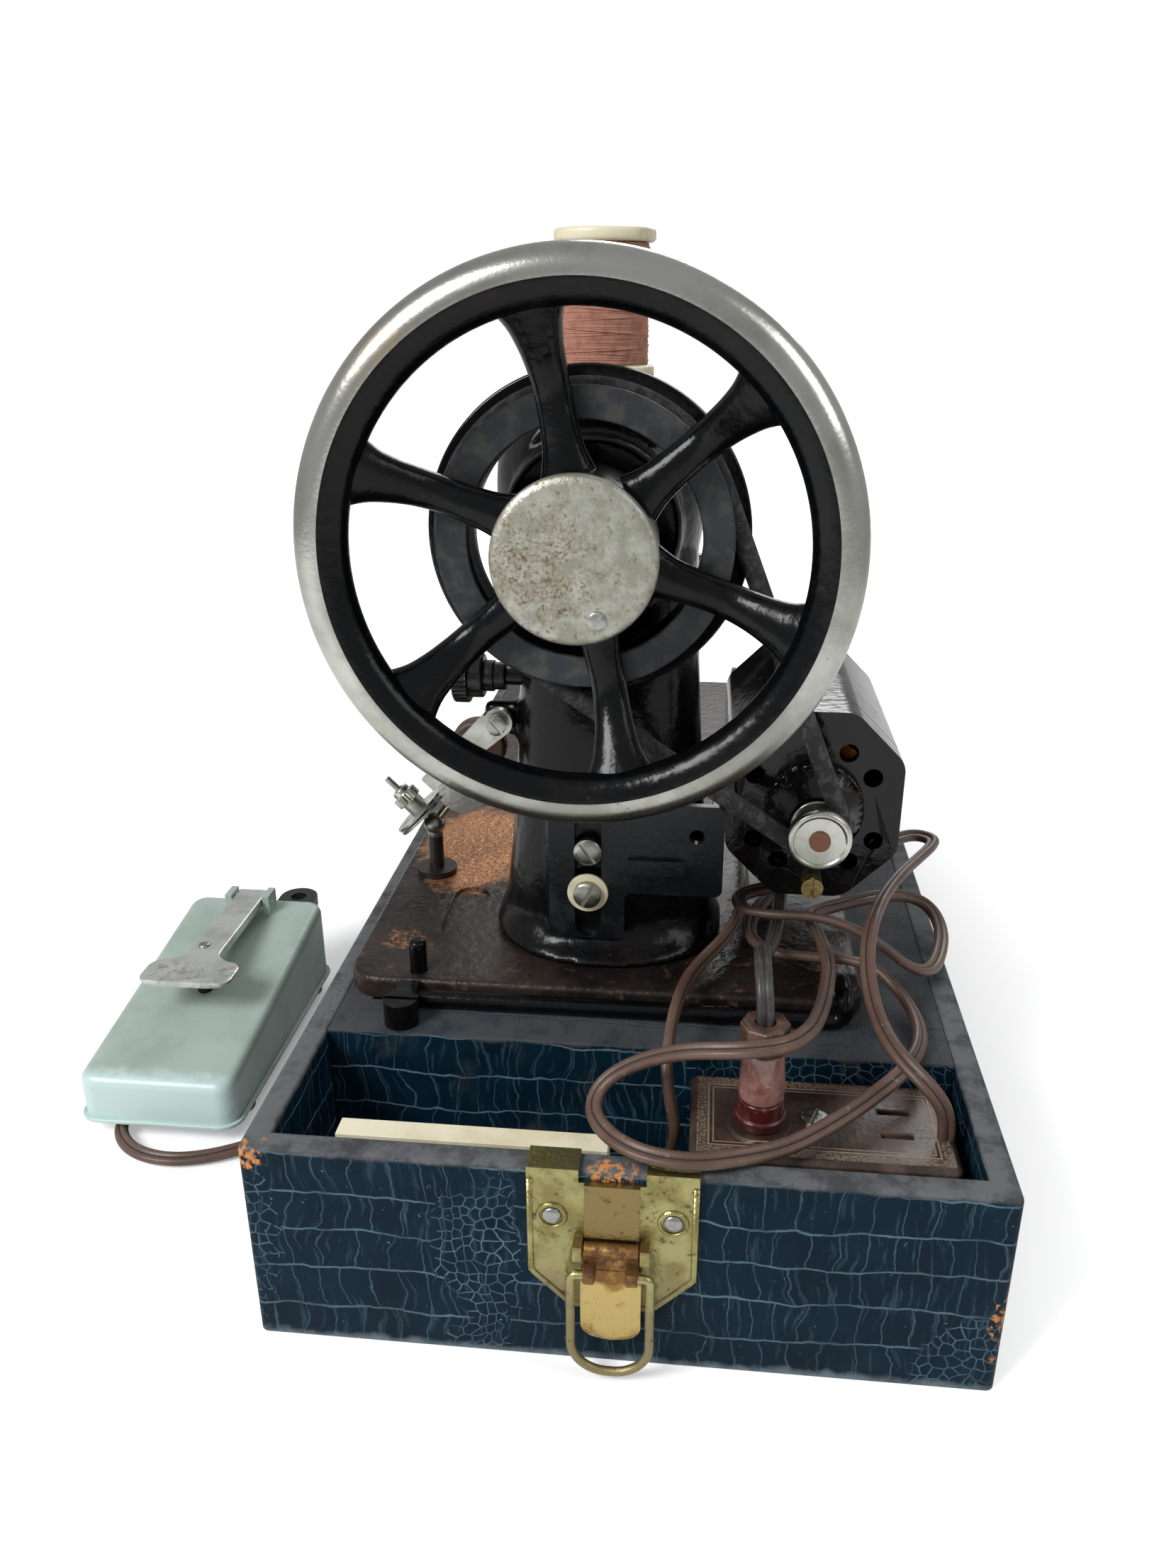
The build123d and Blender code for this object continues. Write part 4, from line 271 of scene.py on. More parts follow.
def ellipse(a, b, count):
    """Loop (a cos t, b sin t)."""
    t = np.arange(count) * 2 * pi / count
    return np.stack([a * np.cos(t), b * np.sin(t)], -1)


def superellipse(power, count):
    """Unit loop |x|^p + |y|^p = 1, as signs times powers of cosine and sine."""
    a = (np.arange(count) + 0.5) * 2 * pi / count
    c, s = np.cos(a), np.sin(a)
    return np.stack([np.sign(c) * abs(c) ** (2 / power), np.sign(s) * abs(s) ** (2 / power)], -1)


def swept(path, outline, side=(0.0, 0.0, 1.0)):
    """An outline carried along a path. Its frame turns as little as it can from ring to ring."""
    path, first = np.asarray(path, float), np.asarray(side, float)
    tangent = np.gradient(path, axis=0)
    tangent /= np.linalg.norm(tangent, axis=1)[:, None]
    across = np.empty_like(path)
    for k in range(len(path)):
        first = first - tangent[k] * (first @ tangent[k])
        first /= np.linalg.norm(first)
        across[k] = first
    up = np.cross(tangent, across)
    outline = np.broadcast_to(outline, (len(path), *np.shape(outline)[-2:]))
    return path[:, None] + across[:, None] * outline[:, :, :1] + up[:, None] * outline[:, :, 1:]


# %% [markdown]
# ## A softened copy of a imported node
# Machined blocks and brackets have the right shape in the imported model, with sharp edges. A
# copy of the mesh is merged, its flat triangles dissolved, and a Bevel modifier rounds what is
# sharper than an angle. The long edges of a casting may be rounded more, in the mesh itself.


# %% Softened copies
def softened(node, material, body, width=0.4, long_edges=None):
    """Edges are rounded by width; long_edges is (axis, least length, radius) in millimetres."""
    work = bmesh.new()
    work.from_mesh(nodes[node].data)
    bmesh.ops.remove_doubles(work, verts=work.verts, dist=MERGE)
    bmesh.ops.dissolve_limit(work, angle_limit=radians(1.0), verts=work.verts, edges=work.edges)
    if long_edges:
        axis, least, radius = long_edges
        picked = [
            e
            for e in work.edges
            if e.calc_length() > least * MM
            and abs((e.verts[0].co - e.verts[1].co).normalized()[axis]) > 0.99
            and len(e.link_faces) == 2
            and e.calc_face_angle(0) > radians(25)
        ]
        bmesh.ops.bevel(work, geom=picked, offset=radius * MM, segments=6, profile=0.5, affect="EDGES")
    mesh = bpy.data.meshes.new(node + "_dressed")
    work.to_mesh(mesh)
    work.free()
    piece = handed_over(node + "_dressed", mesh, EDGE_ANGLE, material, body, (node,))
    edges = piece.modifiers.new("edges", "BEVEL")
    edges.width = width * MM
    edges.segments = 3
    edges.limit_method = "ANGLE"
    edges.angle_limit = radians(EDGE_ANGLE)
    edges.harden_normals = True
    return piece


# %% [markdown]
# ## Effects that several finishes share
# Each is a node group with named sockets. Patches breaks a surface up with noise, for wear,
# rust and dust, and breaks up painted highlights and reflections. Spot is a ragged patch at one
# place, for stains and for painted highlights and reflections. Scales is the embossed covering,
# with painted highlights on its fine creases.

# %% Node helpers
FLOAT, VECTOR = "NodeSocketFloat", "NodeSocketVector"
ORIGIN = (0.0, 0.0, 0.0)
NOISE_REACH = 4.0
SCALE_ROW = 0.0138


def tint(red, green, blue):
    """A colour read off a screen, 0 to 255, as linear light."""
    c = np.array([red, green, blue]) / 255
    linear = np.where(c <= 0.04045, c / 12.92, ((c + 0.055) / 1.055) ** 2.4)
    return (*[float(v) for v in linear], 1.0)


def feed(tree, node, inputs):
    """Sets a node's inputs, and links those that are given as sockets."""
    for key, value in inputs.items():
        if isinstance(value, bpy.types.NodeSocket):
            tree.links.new(value, node.inputs[key])
        else:
            node.inputs[key].default_value = value


def put(tree, kind, inputs=None, **settings):
    """Adds a shader node, sets what it is told, feeds its inputs and returns its outputs."""
    made = tree.nodes.new("ShaderNode" + kind)
    for key, value in settings.items():
        setattr(made, key, value)
    feed(tree, made, inputs or {})
    return made.outputs


def maths(tree, operation, *values):
    """A Math node's output."""
    return put(tree, "Math", dict(enumerate(values)), operation=operation)[0]


def vectors(tree, operation, *values):
    """A Vector Math node's output."""
    return put(tree, "VectorMath", dict(enumerate(values)), operation=operation)[0]


def mixed(tree, mask, first, second, kind="FLOAT"):
    """A Mix node's output: first where the mask is 0 and second where it is 1."""
    at, out = (6, 2) if kind == "RGBA" else (2, 0)
    return put(tree, "Mix", {"Factor": mask, at: first, at + 1: second}, data_type=kind)[out]


def ramp(tree, value, low, high, to=(0.0, 1.0), **settings):
    """A Map Range node's output: to[0] where the value is low, to[1] where it is high."""
    inputs = {"Value": value, "From Min": low, "From Max": high, "To Min": to[0], "To Max": to[1]}
    return put(tree, "MapRange", inputs, **settings)[0]


def noise(tree, vector, scale, detail=4.0, roughness=0.5):
    """A Noise node's outputs."""
    return put(tree, "TexNoise", {"Vector": vector, "Scale": scale, "Detail": detail, "Roughness": roughness})


def off_centre(tree, vector, centre, stretch):
    """How far a vector lies from a centre, with a stretch for each axis."""
    away = vectors(tree, "MULTIPLY", vectors(tree, "SUBTRACT", vector, centre), stretch)
    return put(tree, "VectorMath", {0: away}, operation="LENGTH")["Value"]


def ragged_by(tree, vector, value, scale, swing):
    """The value plus noise about 0 times a swing."""
    about_zero = maths(tree, "SUBTRACT", noise(tree, vector, scale)[0], 0.5)
    return maths(tree, "ADD", value, maths(tree, "MULTIPLY", about_zero, swing))


def new_group(name, inputs, outputs):
    """A node group with named sockets, and the sockets of its input and output nodes."""
    tree = bpy.data.node_groups.new(name, "ShaderNodeTree")
    for label, value in inputs.items():
        kind = FLOAT if isinstance(value, float) else VECTOR
        tree.interface.new_socket(label, in_out="INPUT", socket_type=kind).default_value = value
    for label in outputs:
        tree.interface.new_socket(label, in_out="OUTPUT", socket_type=FLOAT)
    return tree, tree.nodes.new("NodeGroupInput").outputs, tree.nodes.new("NodeGroupOutput").inputs


# %% Patches: noise with a threshold
patches, given, result = new_group(
    "patches", {"Vector": ORIGIN, "Size": 0.01, "Amount": 0.3, "Softness": 0.1}, ["Mask"]
)
grains = noise(patches, given["Vector"], maths(patches, "DIVIDE", 1.0, given["Size"]), 6.0, 0.65)[0]
edge = maths(patches, "SUBTRACT", 0.72, maths(patches, "MULTIPLY", given["Amount"], 0.44))
low = maths(patches, "SUBTRACT", edge, given["Softness"])
high = maths(patches, "ADD", edge, given["Softness"])
patches.links.new(ramp(patches, grains, low, high, interpolation_type="SMOOTHSTEP"), result["Mask"])

# %% Spot: a ragged patch round one point, for stains and for painted highlights and reflections
spot, given, result = new_group(
    "spot",
    {"Vector": ORIGIN, "Centre": ORIGIN, "Stretch": (1.0, 1.0, 1.0), "Radius": 0.01, "Ragged": 0.004},
    ["Mask"],
)
distance = off_centre(spot, given["Vector"], given["Centre"], given["Stretch"])
swing = maths(spot, "MULTIPLY", given["Ragged"], NOISE_REACH)
distance = ragged_by(spot, given["Vector"], distance, 240.0, swing)
core = maths(spot, "MULTIPLY", given["Radius"], 0.72)
spot.links.new(ramp(spot, distance, given["Radius"], core), result["Mask"])

# %% Scales: embossed reptile covering, rows of oblong scales with patches of round ones, and painted highlights on fine creases
scales, given, result = new_group(
    "scales", {"Vector": ORIGIN, "Row": SCALE_ROW, "Round": 0.0}, ["Line", "Tone", "Height"]
)


def cloud(vector, size, detail=2.0):
    """Noise in the scales group; its size is in rows of scales."""
    return noise(scales, vector, 1 / size, detail)


def sway(size, amounts):
    """Noise about 0 in the scales group, times an amount for each axis."""
    about_zero = vectors(scales, "SUBTRACT", cloud(grain, size)["Color"], (0.5, 0.5, 0.5))
    return vectors(scales, "MULTIPLY", about_zero, amounts)


inverse = maths(scales, "DIVIDE", 1.0, given["Row"])
grain = put(scales, "VectorMath", {0: given["Vector"], "Scale": inverse}, operation="SCALE")[0]
bent = vectors(scales, "ADD", grain, sway(2.4, (1.4, 0.6, 0.0)))
bent = vectors(scales, "ADD", bent, sway(0.35, (0.16, 0.14, 0.0)))
brick = {
    "Vector": bent, "Scale": 1.0, "Mortar Size": 0.022, "Mortar Smooth": 0.7,
    "Brick Width": 0.54, "Row Height": 1.0,
}
oblong = put(scales, "TexBrick", brick, offset=0.37, squash=1.22, squash_frequency=2)["Fac"]
height = put(scales, "SeparateXYZ", {0: bent})["Y"]
row_line = ramp(scales, maths(scales, "PINGPONG", height, 0.5), 0.036, 0.014)
oblong_line = maths(scales, "MAXIMUM", row_line, maths(scales, "MULTIPLY", oblong, 0.5))
pebbles = {"Vector": bent, "Scale": 3.5, "Randomness": 0.7}
cells = put(scales, "TexVoronoi", pebbles, feature="DISTANCE_TO_EDGE", voronoi_dimensions="2D")
round_line = ramp(scales, cells["Distance"], 0.08, 0.02)
zone = maths(scales, "ADD", cloud(grain, 3.4, 0.0)[0], maths(scales, "MULTIPLY", given["Round"], 0.38))
line = mixed(scales, ramp(scales, zone, 0.66, 0.70), oblong_line, round_line)
# painted highlights: fine vertical creases drawn as pale streaks in the line colour
crease_highlights = ramp(scales, cloud(vectors(scales, "MULTIPLY", bent, (7.0, 0.6, 1.0)), 0.8, 4.0)[0], 0.56, 0.72)
shown = maths(scales, "MULTIPLY", line, ramp(scales, cloud(grain, 1.3)[0], 0.30, 0.60, (0.35, 1.0)))
shown = maths(scales, "MAXIMUM", shown, maths(scales, "MULTIPLY", crease_highlights, 0.30))
scales.links.new(shown, result["Line"])
scales.links.new(cloud(grain, 1.1)[0], result["Tone"])
scales.links.new(maths(scales, "SUBTRACT", 1.0, line), result["Height"])

# %% [markdown]
# ## Finishes
# One function mixes a finish: a base, then layers that each cover it where a mask says so. The
# masks come from the groups above and read Object coordinates, so they stay on the piece.


# %% The finish mixer
def new_material(name):
    """A material, its node tree, its Principled shader and the piece's Object coordinates."""
    material = bpy.data.materials.new(name)
    material.use_nodes = True
    tree = material.node_tree
    return material, tree, tree.nodes["Principled BSDF"], put(tree, "TexCoord")["Object"]


def layered(tree, place, layers, colour, rough, base_metal=0.0):
    """Shader inputs in which each layer covers what lies below it where its mask says so.

    A layer is (mask maker, colour, roughness, metallic); its last value may be left out where it
    is the base's own. A mask maker takes tree and vector.
    """
    metal = base_metal
    for mask_of, layer_colour, layer_rough, *own_metal in layers:
        mask = mask_of(tree, place)
        colour = mixed(tree, mask, colour, tint(*layer_colour), "RGBA")
        rough = mixed(tree, mask, rough, layer_rough)
        layer_metal = own_metal[0] if own_metal else base_metal
        if layer_metal != base_metal or not isinstance(metal, float):
            metal = mixed(tree, mask, metal, layer_metal)
    return {"Base Color": colour, "Roughness": rough, "Metallic": metal}


def bumps(tree, height, strength, distance):
    """A Bump node's normal."""
    return put(tree, "Bump", {"Height": height, "Strength": strength, "Distance": distance})[0]


def finish(name, base, rough, metal=0.0, layers=(), bump=(0.002, 0.05), coat=0.0, shine=0.5):
    """Base and layers, with bumps of a size in metres and a strength. Colours are 0 to 255."""
    material, tree, shader, place = new_material(name)
    size, strength = bump
    inputs = layered(tree, place, layers, tint(*base), rough, metal)
    inputs["Normal"] = bumps(tree, noise(tree, place, 1.0 / size)[0], strength, size)
    feed(tree, shader, {**inputs, "Coat Weight": coat, "Specular IOR Level": shine})
    return material


def patchy(size, amount, softness=0.06):
    """Mask maker: patches of noise."""
    values = {"Size": size, "Amount": amount, "Softness": softness}
    return lambda tree, place: put(tree, "Group", {"Vector": place, **values}, node_tree=patches)["Mask"]


def stain_and_sheen(centre, radius, ragged=3.0, stretch=(1, 1, 1)):
    """Mask maker: one ragged spot, for stains and for painted highlights and reflections; its place and sizes
    in millimetres.
    """
    values = {"Centre": Vector(centre) * MM, "Stretch": stretch, "Radius": radius * MM, "Ragged": ragged * MM}
    return lambda tree, place: put(tree, "Group", {"Vector": place, **values}, node_tree=spot)["Mask"]


def beyond(axis, low, high, ragged=0.0, size=0.004):
    """Mask maker: from 0 at low to 1 at high along an axis, in millimetres, with a ragged edge."""

    def mask(tree, place):
        along = put(tree, "SeparateXYZ", {0: place})[axis]
        along = ragged_by(tree, place, along, 1 / size, ragged * MM * NOISE_REACH)
        return ramp(tree, along, low * MM, high * MM)

    return mask


def both(first, second):
    """Mask maker: the product of two masks."""
    return lambda tree, place: maths(tree, "MULTIPLY", first(tree, place), second(tree, place))


def by_uv(tree):
    """The piece's own UV map: metres along it and across it."""
    return put(tree, "UVMap", uv_map="along")[0]


def shaded_groove(half, soft):
    """Mask maker for cords: painted shade along the groove between the two wires, where the UV map's second
    value is near 0, in millimetres.
    """

    def mask(tree, _):
        across = maths(tree, "ABSOLUTE", put(tree, "SeparateXYZ", {0: by_uv(tree)})["Y"])
        return ramp(tree, across, (half + soft) * MM, half * MM)

    return mask


BLOCK_SIDES = {"X": (19.0, 97.0), "Y": (-208.0, -168.0)}
BLOCK_SHOULDER = 62


def moulded_line(at, half):
    """Mask maker: a line on the terminal block's top, at a distance inside its edge."""

    def mask(tree, place):
        split = put(tree, "SeparateXYZ", {0: place})
        gaps = []
        for axis, (low, high) in BLOCK_SIDES.items():
            off = maths(tree, "ABSOLUTE", maths(tree, "SUBTRACT", split[axis], (low + high) / 2 * MM))
            gaps.append(maths(tree, "SUBTRACT", (high - low) / 2 * MM, off))
        gap = maths(tree, "SUBTRACT", maths(tree, "MINIMUM", *gaps), at * MM)
        line = ramp(tree, maths(tree, "ABSOLUTE", gap), (half + 0.12) * MM, half * MM)
        return maths(tree, "MULTIPLY", line, maths(tree, "GREATER_THAN", split["Z"], BLOCK_SHOULDER * MM))

    return mask


# %% [markdown]
# ### Metals and paints
# Japan is the baked black varnish of old castings: glossy, with brown rubbed places. On the bed
# a copper-toned patch is a painted warm reflection. Nickel turns grey and pitted; the handwheel's
# rim has a painted warm highlight. Brass darkens in its corners.

# %% Castings and painted metal
japan = finish(
    "japan", (6, 7, 9), 0.19, bump=(0.004, 0.08), shine=0.22,
    layers=[(patchy(0.02, 0.26, 0.12), (20, 17, 16), 0.26), (patchy(0.004, 0.06, 0.05), (52, 38, 29), 0.45)],
)
# Painted reflection: three speckled copper-toned layers on the bed stand for warm light mirrored by its
# glossy japan.
WARM_REFLECTION_PLACE, WARM_REFLECTION_STRETCH = (-74, -36, 77), (1.2, 0.7, 1)
painted_reflection_patches = [
    (both(stain_and_sheen(WARM_REFLECTION_PLACE, radius, ragged, WARM_REFLECTION_STRETCH), patchy(*spots)), colour, rough, metal)
    for radius, ragged, spots, colour, rough, metal in (
        (32, 6, (0.0030, 0.85, 0.10), (138, 94, 68), 0.42, 0.6),
        (30, 7, (0.0012, 0.55, 0.06), (198, 142, 96), 0.36, 0.7),
        (33, 7, (0.0009, 0.22, 0.05), (58, 40, 30), 0.5, 0.2),
    )
]
bed_japan = finish(
    "bed_japan", (22, 19, 18), 0.27, bump=(0.003, 0.2), shine=0.28,
    layers=[
        (patchy(0.03, 0.5, 0.15), (48, 39, 34), 0.38),
        (patchy(0.006, 0.2, 0.06), (82, 58, 44), 0.5),
        # the painted warm reflection
        *painted_reflection_patches,
        (both(stain_and_sheen((-86, -118, 77), 8, 3), patchy(0.0018, 0.45, 0.06)), (150, 104, 66), 0.4, 0.5),
    ],
)
motor_paint = finish(
    "motor_paint", (10, 10, 11), 0.10, bump=(0.003, 0.05), shine=0.36,
    layers=[(patchy(0.02, 0.3, 0.12), (26, 21, 19), 0.24), (patchy(0.003, 0.07, 0.04), (88, 68, 50), 0.5)],
)
bracket_paint = finish(
    "bracket_paint", (11, 15, 19), 0.24, shine=0.3,
    layers=[(patchy(0.015, 0.35, 0.1), (30, 33, 36), 0.36), (patchy(0.003, 0.07, 0.04), (84, 72, 58), 0.5)],
)
enamel = finish(
    "enamel", (160, 176, 168), 0.36, bump=(0.002, 0.05),
    layers=[
        (patchy(0.03, 0.45, 0.15), (146, 161, 152), 0.42),
        # painted light: the controller's front face, below its top edge, is lighter, as where light falls on
        # it
        (both(beyond(1, -134, -140, 2), beyond(2, 34, 30, 0.5)), (186, 208, 204), 0.34),
        (patchy(0.0024, 0.03, 0.03), (104, 92, 76), 0.6),
        (beyond(1, -24.9, -24.6), (20, 20, 20), 0.4),
    ],
)

# %% Bright metals
nickel = finish(
    "nickel", (200, 201, 192), 0.22, 1.0, bump=(0.0015, 0.05),
    layers=[
        (patchy(0.03, 0.5, 0.15), (156, 157, 147), 0.34),
        (patchy(0.0016, 0.06, 0.04), (70, 62, 52), 0.7, 0.4),
    ],
)
rim_nickel = finish(
    "rim_nickel", (194, 195, 188), 0.19, 1.0, bump=(0.0012, 0.05),
    layers=[
        (patchy(0.04, 0.5, 0.15), (152, 153, 145), 0.3),
        # painted highlight: a warm glow on the upper left of the rim
        (both(stain_and_sheen((-64, -172, 277), 14, 6), patchy(0.006, 0.45, 0.2)), (176, 160, 136), 0.32),
        (patchy(0.0014, 0.07, 0.03), (84, 74, 62), 0.7, 0.4),
    ],
)
disc_nickel = finish(
    "disc_nickel", (182, 184, 172), 0.40, 0.9, bump=(0.0012, 0.22),
    layers=[
        (patchy(0.006, 0.55, 0.12), (150, 150, 136), 0.5, 0.8),
        (patchy(0.0022, 0.24, 0.05), (124, 108, 88), 0.6, 0.4),
        (both(stain_and_sheen((-27, -173, 225), 17, 8), patchy(0.0011, 0.40, 0.08)), (124, 106, 86), 0.6, 0.4),
        (both(stain_and_sheen((-28, -173, 222), 12, 8), patchy(0.0018, 0.26, 0.05)), (96, 74, 56), 0.7, 0.3),
    ],
)
post_nickel = finish(
    "post_nickel", (192, 193, 184), 0.24, 1.0,
    [(patchy(0.01, 0.5, 0.15), (146, 147, 138), 0.36), (beyond(2, 95.5, 93.0, 0.4), (38, 34, 32), 0.35, 0.3)],
)
steel = finish("steel", (170, 170, 168), 0.3, 1.0, [(patchy(0.01, 0.4, 0.1), (110, 106, 100), 0.45, 0.9)])
strap_steel = finish(
    "strap_steel", (206, 209, 205), 0.32, 0.7, bump=(0.0012, 0.05),
    layers=[
        (patchy(0.02, 0.45, 0.15), (172, 175, 171), 0.40),
        (both(beyond(1, -90, -96, 2), patchy(0.004, 0.35, 0.08)), (150, 144, 134), 0.45, 0.6),
    ],
)
dark_steel = finish("dark_steel", (96, 95, 94), 0.35, 1.0, [(patchy(0.01, 0.4, 0.1), (60, 54, 48), 0.5, 0.7)])
brass = finish(
    "brass", (176, 170, 118), 0.30, 1.0, bump=(0.0016, 0.16),
    layers=[
        (patchy(0.012, 0.5, 0.1), (146, 138, 88), 0.40),
        (both(beyond(1, -226.95, -227.2), beyond(2, 46.0, 47.0)), (148, 128, 86), 0.36, 0.95),
        (beyond(2, 40, 24, 5), (148, 136, 100), 0.48, 0.85),
        (patchy(0.003, 0.2, 0.05), (100, 82, 52), 0.6, 0.6),
        (patchy(0.0011, 0.08, 0.03), (62, 48, 32), 0.7, 0.3),
    ],
)
rusty_brass = finish(
    "rusty_brass", (206, 182, 118), 0.27, 1.0, bump=(0.0014, 0.12),
    layers=[
        (both(beyond(2, 33.5, 35.0, 1), patchy(0.005, 0.9, 0.1)), (134, 98, 56), 0.42, 0.85),
        (both(beyond(2, 38.0, 39.5, 1), patchy(0.0025, 0.5, 0.06)), (88, 56, 34), 0.65, 0.3),
        (patchy(0.004, 0.22, 0.08), (164, 128, 70), 0.4, 0.9),
        (patchy(0.0014, 0.08, 0.03), (92, 64, 38), 0.6, 0.4),
    ],
)
copper = finish(
    "copper", (186, 112, 62), 0.35, 1.0,
    [(patchy(0.004, 0.4, 0.1), (120, 66, 36), 0.5, 0.8), (beyond(1, -139, -141), (118, 82, 62), 0.5, 0.5)],
)
oil_brass = finish(
    "oil_brass", (214, 196, 132), 0.25, 1.0, [(patchy(0.004, 0.35, 0.1), (160, 138, 84), 0.4, 0.9)]
)

# %% Plastics, rubber, cloth, paper and wood
bakelite = finish(
    "bakelite", (50, 36, 29), 0.34, bump=(0.0015, 0.12),
    layers=[
        (patchy(0.012, 0.4, 0.12), (74, 58, 48), 0.5),
        (both(moulded_line(3.6, 1.4), patchy(0.0007, 0.5, 0.04)), (122, 106, 90), 0.7),
        (moulded_line(5.6, 0.22), (134, 118, 100), 0.7),
        (moulded_line(7.0, 0.18), (128, 110, 92), 0.7),
        (patchy(0.002, 0.10, 0.05), (104, 88, 74), 0.7),
    ],
)
belt_cloth = finish(
    "belt_cloth", (44, 44, 46), 0.8, bump=(0.0008, 0.6), shine=0.3,
    layers=[(patchy(0.003, 0.4, 0.08), (74, 74, 74), 0.9)],
)
cream = finish("cream", (214, 206, 178), 0.4, 0.0, [(patchy(0.01, 0.35, 0.12), (190, 178, 146), 0.5)])
black_plastic = finish(
    "black_plastic", (14, 14, 14), 0.3, 0.0, [(patchy(0.006, 0.3, 0.1), (44, 41, 38), 0.5)]
)
winder_rubber = finish(
    "winder_rubber", (66, 44, 34), 0.5, 0.0, [(patchy(0.006, 0.4, 0.1), (96, 74, 60), 0.65)]
)
foot_rubber = finish("foot_rubber", (22, 22, 22), 0.7, 0.0, [(patchy(0.006, 0.3, 0.1), (54, 52, 49), 0.8)])
paper = finish(
    "paper", (226, 218, 192), 0.8, 0.0, [(patchy(0.02, 0.4, 0.15), (208, 198, 166), 0.85)], (0.0006, 0.1)
)
thread_cotton = finish(
    "thread_cotton", (168, 122, 104), 0.85, 0.0, [(patchy(0.003, 0.4, 0.12), (148, 102, 86), 0.9)],
    bump=(0.0004, 0.3), shine=0.2,
)
cord_brown = finish(
    "cord_brown", (98, 76, 65), 0.40, bump=(0.001, 0.08),
    layers=[
        (patchy(0.02, 0.45, 0.15), (80, 60, 50), 0.46),
        # painted shade in the groove between the two wires
        (shaded_groove(0.55, 0.9), (38, 27, 22), 0.7),
        (patchy(0.002, 0.08, 0.05), (136, 116, 100), 0.6),
    ],
)
lead_grey = finish(
    "lead_grey", (52, 50, 50), 0.38, bump=(0.001, 0.1),
    # the second layer is painted shade in the groove between the two wires
    layers=[(patchy(0.01, 0.4, 0.12), (82, 78, 75), 0.5), (shaded_groove(0.5, 0.7), (20, 19, 19), 0.6)],
)
worn_wood = finish(
    "worn_wood", (84, 82, 80), 0.7, bump=(0.0015, 0.25),
    layers=[(patchy(0.03, 0.5, 0.12), (112, 108, 102), 0.75), (patchy(0.004, 0.25, 0.06), (54, 54, 56), 0.8)],
)
plug_red = finish(
    "plug_red", (72, 26, 26), 0.14, 0.0, [(patchy(0.003, 0.2, 0.06), (120, 70, 62), 0.3)], coat=0.4
)
plug_sleeve = finish(
    "plug_sleeve", (150, 112, 104), 0.12, coat=0.5,
    layers=[
        (patchy(0.006, 0.45, 0.15), (118, 74, 66), 0.16),
        (patchy(0.002, 0.12, 0.05), (190, 164, 152), 0.3),
    ],
)
plug_collar = finish("plug_collar", (70, 50, 40), 0.3, 0.0, [(patchy(0.004, 0.35, 0.1), (98, 76, 62), 0.45)])

# %% [markdown]
# ### The embossed covering
# Paper-backed cloth pressed to look like crocodile covers the case. The pattern needs a flat
# place to be drawn: the walls have a UV map that runs round them, and the flat boards add
# height to depth, which is smooth over their front edge.


# %% Covering
def covering(name, flat, round_places, wear):
    """The covering's finish. flat makes the pattern's own vector; wear are layers on top."""
    material, tree, shader, place = new_material(name)
    chosen = 0.0
    for mask_of in round_places:
        chosen = maths(tree, "ADD", mask_of(tree, place), chosen)
    inputs = {"Vector": flat(tree), "Row": SCALE_ROW, "Round": chosen}
    pattern = put(tree, "Group", inputs, node_tree=scales)
    colour = mixed(tree, pattern["Tone"], tint(3, 17, 28), tint(9, 40, 56), "RGBA")
    # the pale line colour also carries the painted crease highlights
    colour = mixed(tree, pattern["Line"], colour, tint(88, 112, 126), "RGBA")
    rough = ramp(tree, pattern["Line"], 0.0, 1.0, (0.5, 0.66))
    feed(tree, shader, layered(tree, place, wear, colour, rough))
    normal = bumps(tree, pattern["Height"], 0.5, 0.0006)
    feed(tree, shader, {"Specular IOR Level": 0.1, "Normal": normal})
    return material


def by_height_and_depth(tree):
    """A board's own vector: x, and the sum of y and z."""
    split = put(tree, "SeparateXYZ", {0: put(tree, "TexCoord")["Object"]})
    return put(tree, "CombineXYZ", {"X": split["X"], "Y": maths(tree, "ADD", split["Y"], split["Z"])})[0]


BARE_WOOD = (196, 132, 76)
GREY_WEAR = (96, 98, 100)
RUBBED = (66, 69, 72)
case_covering = covering(
    "case_covering",
    by_uv,
    (stain_and_sheen((-42, -226, 36), 17, 4, (1.1, 1, 0.25)), stain_and_sheen((-109, -226, 36), 12, 5, (1, 1, 0.4))),
    [
        (beyond(2, 67.2, 68.4, 0.5, 0.01), RUBBED, 0.7),
        (both(beyond(2, 67.4, 68.6, 0.8, 0.006), patchy(0.012, 0.6, 0.1)), GREY_WEAR, 0.75),
        (beyond(2, 3.0, 0.5, 1.4, 0.006), (104, 116, 124), 0.7),
        (patchy(0.0016, 0.03, 0.03), (138, 150, 158), 0.7),
        (both(stain_and_sheen((-107, -225, 66), 6, 5, (1, 1, 1.3)), patchy(0.0024, 0.5, 0.05)), BARE_WOOD, 0.7),
        (both(stain_and_sheen((-1.5, -226, 69), 7, 3, (1, 1, 1.4)), patchy(0.0024, 0.45, 0.05)), BARE_WOOD, 0.7),
        (both(stain_and_sheen((109, -225, 24), 4, 4, (1, 1, 0.4)), patchy(0.0024, 0.4, 0.05)), BARE_WOOD, 0.7),
    ],
)
board_covering = covering(
    "board_covering",
    by_height_and_depth,
    (stain_and_sheen((60, -165, 50), 45, 10),),
    [(beyond(2, 67.8, 68.9, 1.0, 0.012), RUBBED, 0.7), (patchy(0.02, 0.2, 0.1), (50, 55, 61), 0.6)],
)

# %% [markdown]
# ## Cords first
# Each cord is one length of flat twin flex. Its line is a NURBS spline through the route that
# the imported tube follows, and a small outline of two joined wires is carried along the points
# that Blender gives for that spline.

